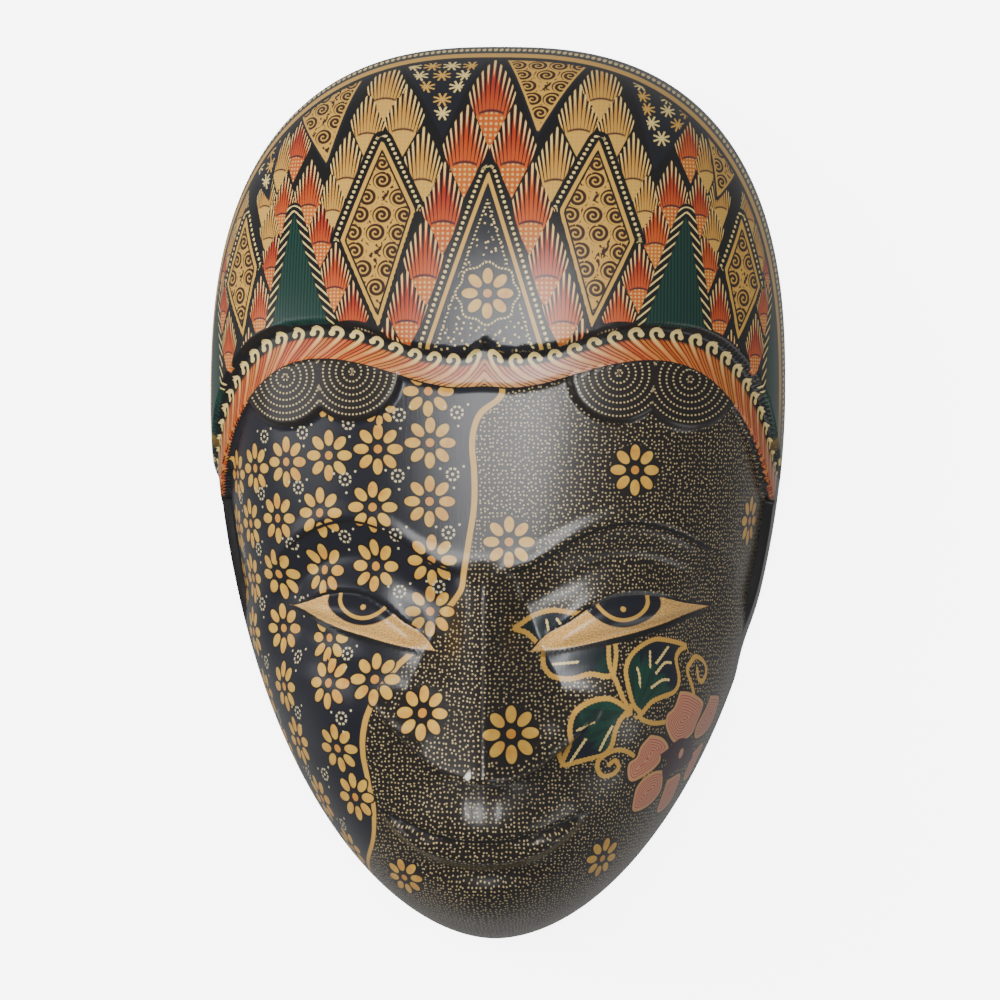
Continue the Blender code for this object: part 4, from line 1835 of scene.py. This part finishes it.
@dataclass(frozen=True)
class Vine:
    """The spray on the right cheek: leaves, curls and a pink flower, drawn with gold lines."""

    palette: Palette
    leaf_high: Curve = ((34, -46.5), (32, -44.5), (31, -39), (32, -36), (34.5, -33.5), (39, -31.5),
                        (43, -31.5), (50.5, -33), (48, -34), (46, -36), (46, -40), (44.5, -42.5),
                        (40.5, -43.5), (37, -44.5), (34, -47))
    leaf_low: Curve = ((31, -46), (29, -44.5), (26.5, -43.5), (23, -44), (20, -45.5), (18.5, -47.5),
                       (18, -50), (18.5, -53.5), (17.2, -57.8), (20.5, -57.2), (23, -56.5),
                       (26, -55.5), (27.5, -53.5), (28, -50.5), (29, -48), (31.5, -45.5))
    leaf_bar: Curve = ((13, -33), (13, -36.5), (15, -39), (19, -39.5), (23, -38.5), (28, -38.5),
                       (28, -31))
    leaf_lid: Curve = ((12.5, -33), (9.5, -30), (7, -29), (8, -28), (11, -26), (15, -25), (19, -25.5),
                       (22.5, -26), (17, -29))
    stems: tuple[Curve, ...] = (((27.5, -32), (27.5, -36.5), (28.5, -40), (30, -44), (31.5, -46.5)),
                                ((34, -47), (34.5, -48), (38, -49), (42, -49)),
                                ((16.2, -54.8), (16.6, -56.3), (17.1, -57.6)),
                                ((31.5, -45), (31.3, -46.5), (30.5, -47)))
    curls: tuple[Curve, ...] = (((52.5, -43.5), (50, -40), (49.5, -38), (51.5, -36.5), (54, -35.5),
                                 (57, -36.5), (58, -38.5), (55.8, -40.6), (53.8, -40), (53.6, -38)),
                                ((33.5, -56), (31.5, -55), (29, -54.5), (26.5, -55.5), (25, -57),
                                 (25, -59), (26.5, -60.5), (29, -60), (30, -58.5), (28.8, -57),
                                 (27.4, -58)))
    veins: tuple[Curve, ...] = (((34, -37), (34.3, -39), (34, -41)), ((38.5, -33.5), (37.5, -37.5)),
                                ((44.5, -33), (39.5, -36.5)), ((44.5, -36.5), (42, -36.5), (39, -38.5)),
                                ((43, -40), (40.5, -40), (37, -41.5)), ((19.5, -49.5), (23.5, -48.5)),
                                ((18.8, -57.5), (22, -52)), ((25, -54.5), (26, -52), (27.5, -49)),
                                ((15.5, -26.5), (17, -28.5)), ((19.5, -26.3), (18.5, -27.5)),
                                ((13.5, -27), (14, -29.5)), ((15, -36.5), (20.5, -36)))
    petals: tuple[Curve, ...] = (((46.5, -42.5), (51, -43), (57.5, -45), (58.5, -46.5), (57, -50),
                                  (55.5, -52.5), (48, -54), (43, -50.5), (42.5, -47.5), (45, -46)),
                                 ((37.5, -51.5), (42, -52.5), (45.5, -55), (43, -56.5), (43, -58),
                                  (40, -60), (34, -62), (32.5, -58), (34.5, -56.5), (35, -54)),
                                 ((45.5, -60), (46, -61.5), (47, -65), (43, -68), (37, -69),
                                  (36, -65.5), (36.5, -63), (39, -61), (42, -60)),
                                 ((62, -44), (70, -45), (70, -51), (60, -53.5), (57.5, -51),
                                  (61, -46.5)),
                                 ((61, -57), (69, -55), (68, -62), (62, -63)),
                                 ((49, -62.5), (57, -61.5), (58, -68), (50, -70)))
    heart: Curve = ((42, -56.5), (45.5, -55), (47, -54), (51, -53), (58.5, -54), (60, -56),
                    (62, -58.5), (52, -60.5), (47, -62), (45, -60), (46.5, -58))
    eye_of_heart: Pair = (52.5, -56.5)
    node: Pair = (32.5, -46.5)
    line_half: float = 0.52
    vein_half: float = 0.27

    def closed(self, points: Curve) -> Array:
        """A smooth closed outline through a few points."""
        return smooth_run(points + points[:1], 4)[:-1]

    def mark(self, skin: Skin) -> None:
        """Keep the distances from leaves, petals and heart, and from the drawn lines.

        Args:
            skin: The front's net.
        """
        leaves = [self.leaf_high, self.leaf_low, self.leaf_bar, self.leaf_lid]
        outlines = [self.closed(leaf) for leaf in leaves]
        petals = [self.closed(petal) for petal in self.petals]
        leaf_off = np.min([polygon_distance(skin.places, line) for line in outlines], axis=0)
        petal_off = np.min([polygon_distance(skin.places, line) for line in petals], axis=0)
        heart_off = polygon_distance(skin.places, self.closed(self.heart))
        skin.point_layer("leafage", leaf_off, petal_off, heart_off)
        strokes = [(np.concatenate([line, line[:1]]), Stroke.LINE) for line in outlines]
        strokes += [(smooth_run(line), Stroke.LINE) for line in self.stems + self.curls]
        strokes += [(smooth_run(line), Stroke.VEIN) for line in self.veins]
        skin.stroke_layer("vine", strokes)

    def paint(self, inks: Inks) -> None:
        """Lay fills first, then veins and gold lines.

        Args:
            inks: Writer of the nodes.
        """
        palette = self.palette
        leaf, petal, heart = inks.read("leafage")
        across, along, _ = inks.read("chart")
        far, bearing = inks.polar(across - self.node[0], along - self.node[1])
        frond = inks.noise(inks.join(bearing * 40.0, far * 0.05), 1.0, 1.0)
        fan = inks.rise(far + frond * 9.0, 17.0, 15.5)
        teal = inks.lay(palette.teal, palette.green, fan)
        teal = inks.lay(teal, palette.forest, inks.rise(frond, 0.50, 0.42) * 0.6)
        inks.coat(teal, inks.rise(leaf, 0.1, -0.1))
        inks.coat(palette.umber, inks.rise(petal, 0.75, 0.55))
        side, rise = across - self.eye_of_heart[0], along - self.eye_of_heart[1]
        away = inks.away(side, rise)
        rings = inks.rise((petal * 1.7).part().size(), 0.24, 0.12)
        rosy = inks.lay(palette.rose, palette.red, rings * 0.8 * inks.rise(petal, -0.5, -0.8))
        inks.coat(rosy, inks.rise(petal, 0.1, -0.1))
        inks.coat(palette.straw, inks.stripe(petal + 0.2, 0.22, 0.08) * 0.6)
        inks.coat(palette.plum, inks.rise(heart, 0.1, -0.1))
        inks.coat(palette.rose, inks.rise(away, 1.3, 1.0))
        off, run, kind = inks.read("vine")
        thick = off.size() + (run * 7.0).sine() * 0.06
        vein = inks.rise(thick, self.vein_half + 0.05, self.vein_half - 0.05)
        vein = vein * inks.rise(kind, 1.4, 1.6)
        line = inks.rise(thick, self.line_half + 0.06, self.line_half - 0.06)
        line = line * inks.rise(kind, 1.6, 1.4) * inks.rise(kind, 0.4, 0.6) * inks.rise(petal, -0.3, 0.1)
        inks.coat(palette.cream, vein)
        inks.coat(palette.straw, line)


@dataclass(frozen=True)
class Eyes:
    """Painted eyes: gold whites, a dark iris with a gold ring, and dark lids."""

    palette: Palette
    iris: tuple[float, float, float] = (26.4, 30.4, -21.0)
    iris_reach: Pair = (9.0, 7.6)
    ring_reach: float = 6.0
    ring_half: float = 0.42
    glint: Pair = (0.0, -3.6)
    under_lid: float = 1.2

    def mark(self, skin: Skin) -> None:
        """Keep the distances from both lids.

        Args:
            skin: The front's net.
        """
        carving, across, level = skin.carving, skin.eye_steps, skin.height
        upper = level - line_level(carving.upper_lid, across)
        lower = level - line_level(carving.lower_lid, across)
        skin.point_layer("lids", upper, lower, across)
        left, right, height = self.iris
        middle = np.where(skin.base[:, 0] > 0.0, right, left)
        skin.point_layer("plan", skin.steps - middle, level - height, level)

    def paint(self, inks: Inks) -> None:
        """Lay the eye from its white to the glint.

        Args:
            inks: Writer of the nodes.
        """
        palette = self.palette
        upper, lower, across = inks.read("lids")
        side, rise, level = inks.read("plan")
        aside = inks.rise(across, 9.6, 10.0) * inks.rise(across, 45.4, 44.6)
        shadow = inks.rise(lower, -self.under_lid - 0.3, -self.under_lid) * inks.rise(lower, 0.2, 0.0)
        shadow = shadow * inks.rise(across, 11.0, 14.0) * inks.rise(across, 46.0, 42.0)
        inks.coat(palette.black, shadow)
        opening = inks.rise(upper, 0.1, -0.1) * inks.rise(lower, -0.1, 0.1) * aside
        speck = inks.rise(inks.noise(inks.join(across, level), 3.2), 0.44, 0.56) * 0.8
        inks.coat(inks.lay(palette.ochre, palette.eye_white, speck), opening)
        wide = side * (1.0 / self.iris_reach[0])
        tall = rise * (1.0 / self.iris_reach[1])
        iris = inks.away(wide, tall)
        inks.coat(palette.night, inks.rise(iris, 1.02, 0.98) * opening)
        away = inks.away(side, rise)
        ring = inks.stripe(away - self.ring_reach, self.ring_half, 0.08)
        inks.coat(palette.straw, ring * opening)
        glint_side, glint_rise = side - self.glint[0], rise - self.glint[1]
        glint = inks.away(glint_side, glint_rise)
        inks.coat(palette.straw, inks.rise(glint, 0.7, 0.5) * opening)
        lid = inks.stripe(upper - 0.15, 0.30, 0.06) * aside
        inks.coat(palette.black, lid)


@dataclass(frozen=True)
class CarvedLines:
    """Dark painted shade in carved creases, a paler crescent under the lip and a pale nose spot."""

    palette: Palette
    pale_spot: Curve = ((-2.6, -58.2), (-0.9, -58.3), (-1.1, -56.0))

    def mark(self, skin: Skin) -> None:
        """Keep the distances from the brow, the mouth slit and the nose's foot.

        Args:
            skin: The front's net.
        """
        carving, across, level = skin.carving, skin.steps, skin.height
        brow_place = skin.eye_steps
        brow = level - line_level(carving.brow_line, brow_place)
        fade = ease(46.0, 40.0, brow_place) * ease(3.0, 7.0, brow_place)
        brow = np.where(fade > 0.5, brow, 9.0)
        slit = carving.mouth_level + carving.mouth_smile * (across / carving.mouth_half) ** 2
        mouth = np.where(across < carving.mouth_half * 1.05, level - slit, 9.0)
        beside = carving.nose_steps(skin.base[:, 0], level)
        base = carving.nose_tip - 2.7 + carving.nose_base_lift * (beside / carving.nose_base_half) ** 2
        nose = np.where(beside < carving.nose_base_half * 0.9, level - base, 9.0)
        skin.point_layer("creases", brow, mouth, nose)
        part = across / carving.mouth_half
        crescent = level - carving.lip_bottom - carving.lip_turn * np.clip(part, 0.0, 1.1) ** 2
        skin.point_layer("crescent", crescent, part, polygon_distance(skin.places, self.pale_spot))

    def paint(self, inks: Inks) -> None:
        """Lay the paler crescent, the dark lines of painted shade and the pale spot.

        Args:
            inks: Writer of the nodes.
        """
        brow, mouth, nose = inks.read("creases")
        crescent, part, pale_spot = inks.read("crescent")
        # A paler band without dots in the groove under the lower lip.
        pale_crescent = inks.stripe(crescent + 0.6, 0.95, 0.5) * inks.rise(part, 1.02, 0.85) * 0.8
        inks.coat(self.palette.umber_pale, pale_crescent)
        # Painted shade: dark lines in the carved brow, mouth slit and nose foot; the brow's is partly
        # drawn in the paint too.
        lines = inks.stripe(brow, 0.32, 0.08).greater(inks.stripe(mouth, 0.28, 0.12))
        lines = lines.greater(inks.stripe(nose, 0.30, 0.3) * 0.8)
        inks.coat(self.palette.black, lines)
        # A pale spot under the nose's tip.
        inks.coat(self.palette.spot_white, inks.rise(pale_spot, 0.12, -0.12))


@dataclass(frozen=True)
class Border:
    """The painted edge along the rim, with pale beads round the crown."""

    palette: Palette
    bead_low: float = 16.2
    bead_high: float = 19.4
    gold_low: float = 21.0
    gold_high: float = 23.4
    edge_high: float = 24.6
    bead_pitch: float = 1.3
    plain_high: float = 13.0
    crown_foot: float = 8.0
    crown_fade: float = 14.0

    def mark(self, skin: Skin) -> None:
        """Keep the height above the floor and the run round the rim.

        Args:
            skin: The front's net.
        """
        count = 8 * (int(math.sqrt((len(skin.places) - 1) / 4)))
        x, y, z = skin.base.T / MM
        rim = skin.base[-count:] / MM
        run = np.cumsum(np.hypot(np.diff(rim[:, 0], prepend=rim[0, 0]),
                                 np.diff(rim[:, 1], prepend=rim[0, 1])))
        turn = np.arctan2(rim[:, 1] - skin.middle_y, rim[:, 0])
        order = np.argsort(turn)
        place = np.interp(np.arctan2(y - skin.middle_y, x), turn[order], run[order])
        skin.point_layer("edge", z, place, skin.height - self.crown_foot)

    def paint(self, inks: Inks) -> None:
        """Lay the dark edge, the beads and the gold lines.

        Args:
            inks: Writer of the nodes.
        """
        palette = self.palette
        height, run, over = inks.read("edge")
        crown = inks.rise(over, 0.0, self.crown_fade)
        limit = crown * (self.edge_high - self.plain_high) + self.plain_high
        inks.coat(palette.black, inks.rise(height - limit, 0.6, 0.2))
        side = (run * (1.0 / self.bead_pitch)).part() * self.bead_pitch
        middle = (self.bead_low + self.bead_high) / 2
        tall = (height - middle) * (1.0 / (self.bead_high - self.bead_low))
        bead = inks.rise(inks.away(side, tall), 0.5, 0.42)
        half = (self.gold_high - self.gold_low) / 2
        gold = inks.rise((height - self.gold_low - half).size(), half + 0.2, half - 0.2)
        tint = inks.lay(palette.straw, palette.cream, inks.rise(height, self.gold_low, self.bead_high))
        inks.coat(tint, bead.greater(gold) * crown)


@dataclass(frozen=True)
class Lacquer:
    """Satin lacquer over the painting."""

    roughness: float = 0.33
    coat: float = 0.30
    coat_roughness: float = 0.22
    grain: float = 0.25
    grain_depth: float = 0.00012
    grain_scale: Pair = (3.2, 0.14)

    def finish(self, inks: Inks) -> None:
        """Feed the painting to the shader, with faint upright brush grain.

        Args:
            inks: Writer of the nodes.
        """
        across, along, _ = inks.read("chart")
        fine, long = self.grain_scale
        grain = inks.noise(inks.join(across * fine, along * long), 1.0, 3.0)
        bump = inks.node("ShaderNodeBump")
        bump.inputs["Strength"].default_value = self.grain
        bump.inputs["Distance"].default_value = self.grain_depth
        inks.link(grain, bump.inputs["Height"])
        shader = inks.shader(inks.colour, self.roughness)
        inks.link(bump.outputs[0], shader.inputs["Normal"])
        shader.inputs["Coat Weight"].default_value = self.coat
        shader.inputs["Coat Roughness"].default_value = self.coat_roughness


@dataclass(frozen=True)
class HollowWood:
    """Dark carved wood of the hollow and the back rim."""

    light: Colour = paint(92, 64, 44)
    dark: Colour = paint(58, 39, 28)
    roughness: float = 0.72
    grain_scale: Pair = (900.0, 40.0)

    def material(self) -> bpy.types.Material:
        """A material with upright grain.

        Returns:
            The material.
        """
        material = bpy.data.materials.new("hollow_wood")
        material.use_nodes = True
        material.node_tree.nodes.clear()
        inks = Inks(material.node_tree)
        source = inks.node("ShaderNodeTexCoord")
        split = inks.node("ShaderNodeSeparateXYZ")
        inks.link(source.outputs["Object"], split.inputs[0])
        x, y, z = (Amount(inks, split.outputs[index]) for index in range(3))
        fine, long = self.grain_scale
        grain = inks.noise(inks.join(x * fine, y * long, z * fine), 1.0, 4.0)
        inks.shader(inks.lay(self.dark, self.light, inks.rise(grain, 0.35, 0.68)), self.roughness)
        return material


@dataclass
class PaintedMask:
    """The whole mask: carved shell, painting and wood."""

    carving: Carving = field(default_factory=Carving)
    palette: Palette = field(default_factory=Palette)

    def build(self) -> bpy.types.Object:
        """Build the mask's mesh and dress it.

        Returns:
            The finished object, in the scene.
        """
        shell = Shell(self.carving)
        mesh = shell.mesh("painted_mask")
        places = Chart(self.carving).lay(shell.base)
        skin = Skin(shell.base, places, self.carving, shell.front_faces)
        ground, crown = Ground(self.palette), Crown(self.palette)
        kinds = (Flowers, Ringlets, Lobes, Band, Vine, CarvedLines, Eyes, Border)
        upper_layers = [kind(self.palette) for kind in kinds]
        for layer in [ground, crown] + upper_layers:
            layer.mark(skin)
        skin.write(mesh)
        self.map_faces(mesh, BakeMap().lay(shell, places))
        material = bpy.data.materials.new("painted_lacquer")
        material.use_nodes = True
        material.node_tree.nodes.clear()
        inks = Inks(material.node_tree)
        ground.paint(inks)
        ground_colour = inks.colour
        crown.paint(inks)
        above, _, _ = inks.read("foot")
        inks.colour = inks.lay(ground_colour, inks.colour, inks.rise(above, 0.0, 0.1))
        for layer in upper_layers:
            layer.paint(inks)
        Lacquer().finish(inks)
        mesh.materials.append(material)
        mesh.materials.append(HollowWood().material())
        index = np.zeros(len(mesh.polygons), dtype=np.int32)
        index[len(shell.front_faces):] = 1
        mesh.polygons.foreach_set("material_index", index)
        LOG.info("painted_mask: %d triangles, %d paint nodes", len(mesh.polygons), inks.count)
        mask = bpy.data.objects.new("painted_mask", mesh)
        bpy.context.scene.collection.objects.link(mask)
        return mask

    @staticmethod
    def map_faces(mesh: bpy.types.Mesh, places: Array) -> None:
        """Give the mesh its map, from one place for each corner."""
        layer = mesh.uv_layers.new(name="OFBake")
        layer.data.foreach_set("uv", places.astype(np.float32).ravel())


def main() -> None:
    """Build the mask and the studio."""
    logging.basicConfig(level=logging.INFO, format="%(name)s: %(message)s")
    mask = PaintedMask().build()
    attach(mask, "root")
    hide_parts("carved_mask")
    studio = Studio()
    studio.floor()
    for lamp in studio.lamps:
        studio.light(lamp)
    studio.world()
    studio.camera()
    LOG.info("studio: floor, %d lamps and camera", len(studio.lamps))
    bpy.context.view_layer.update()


if __name__ == "__main__":
    main()
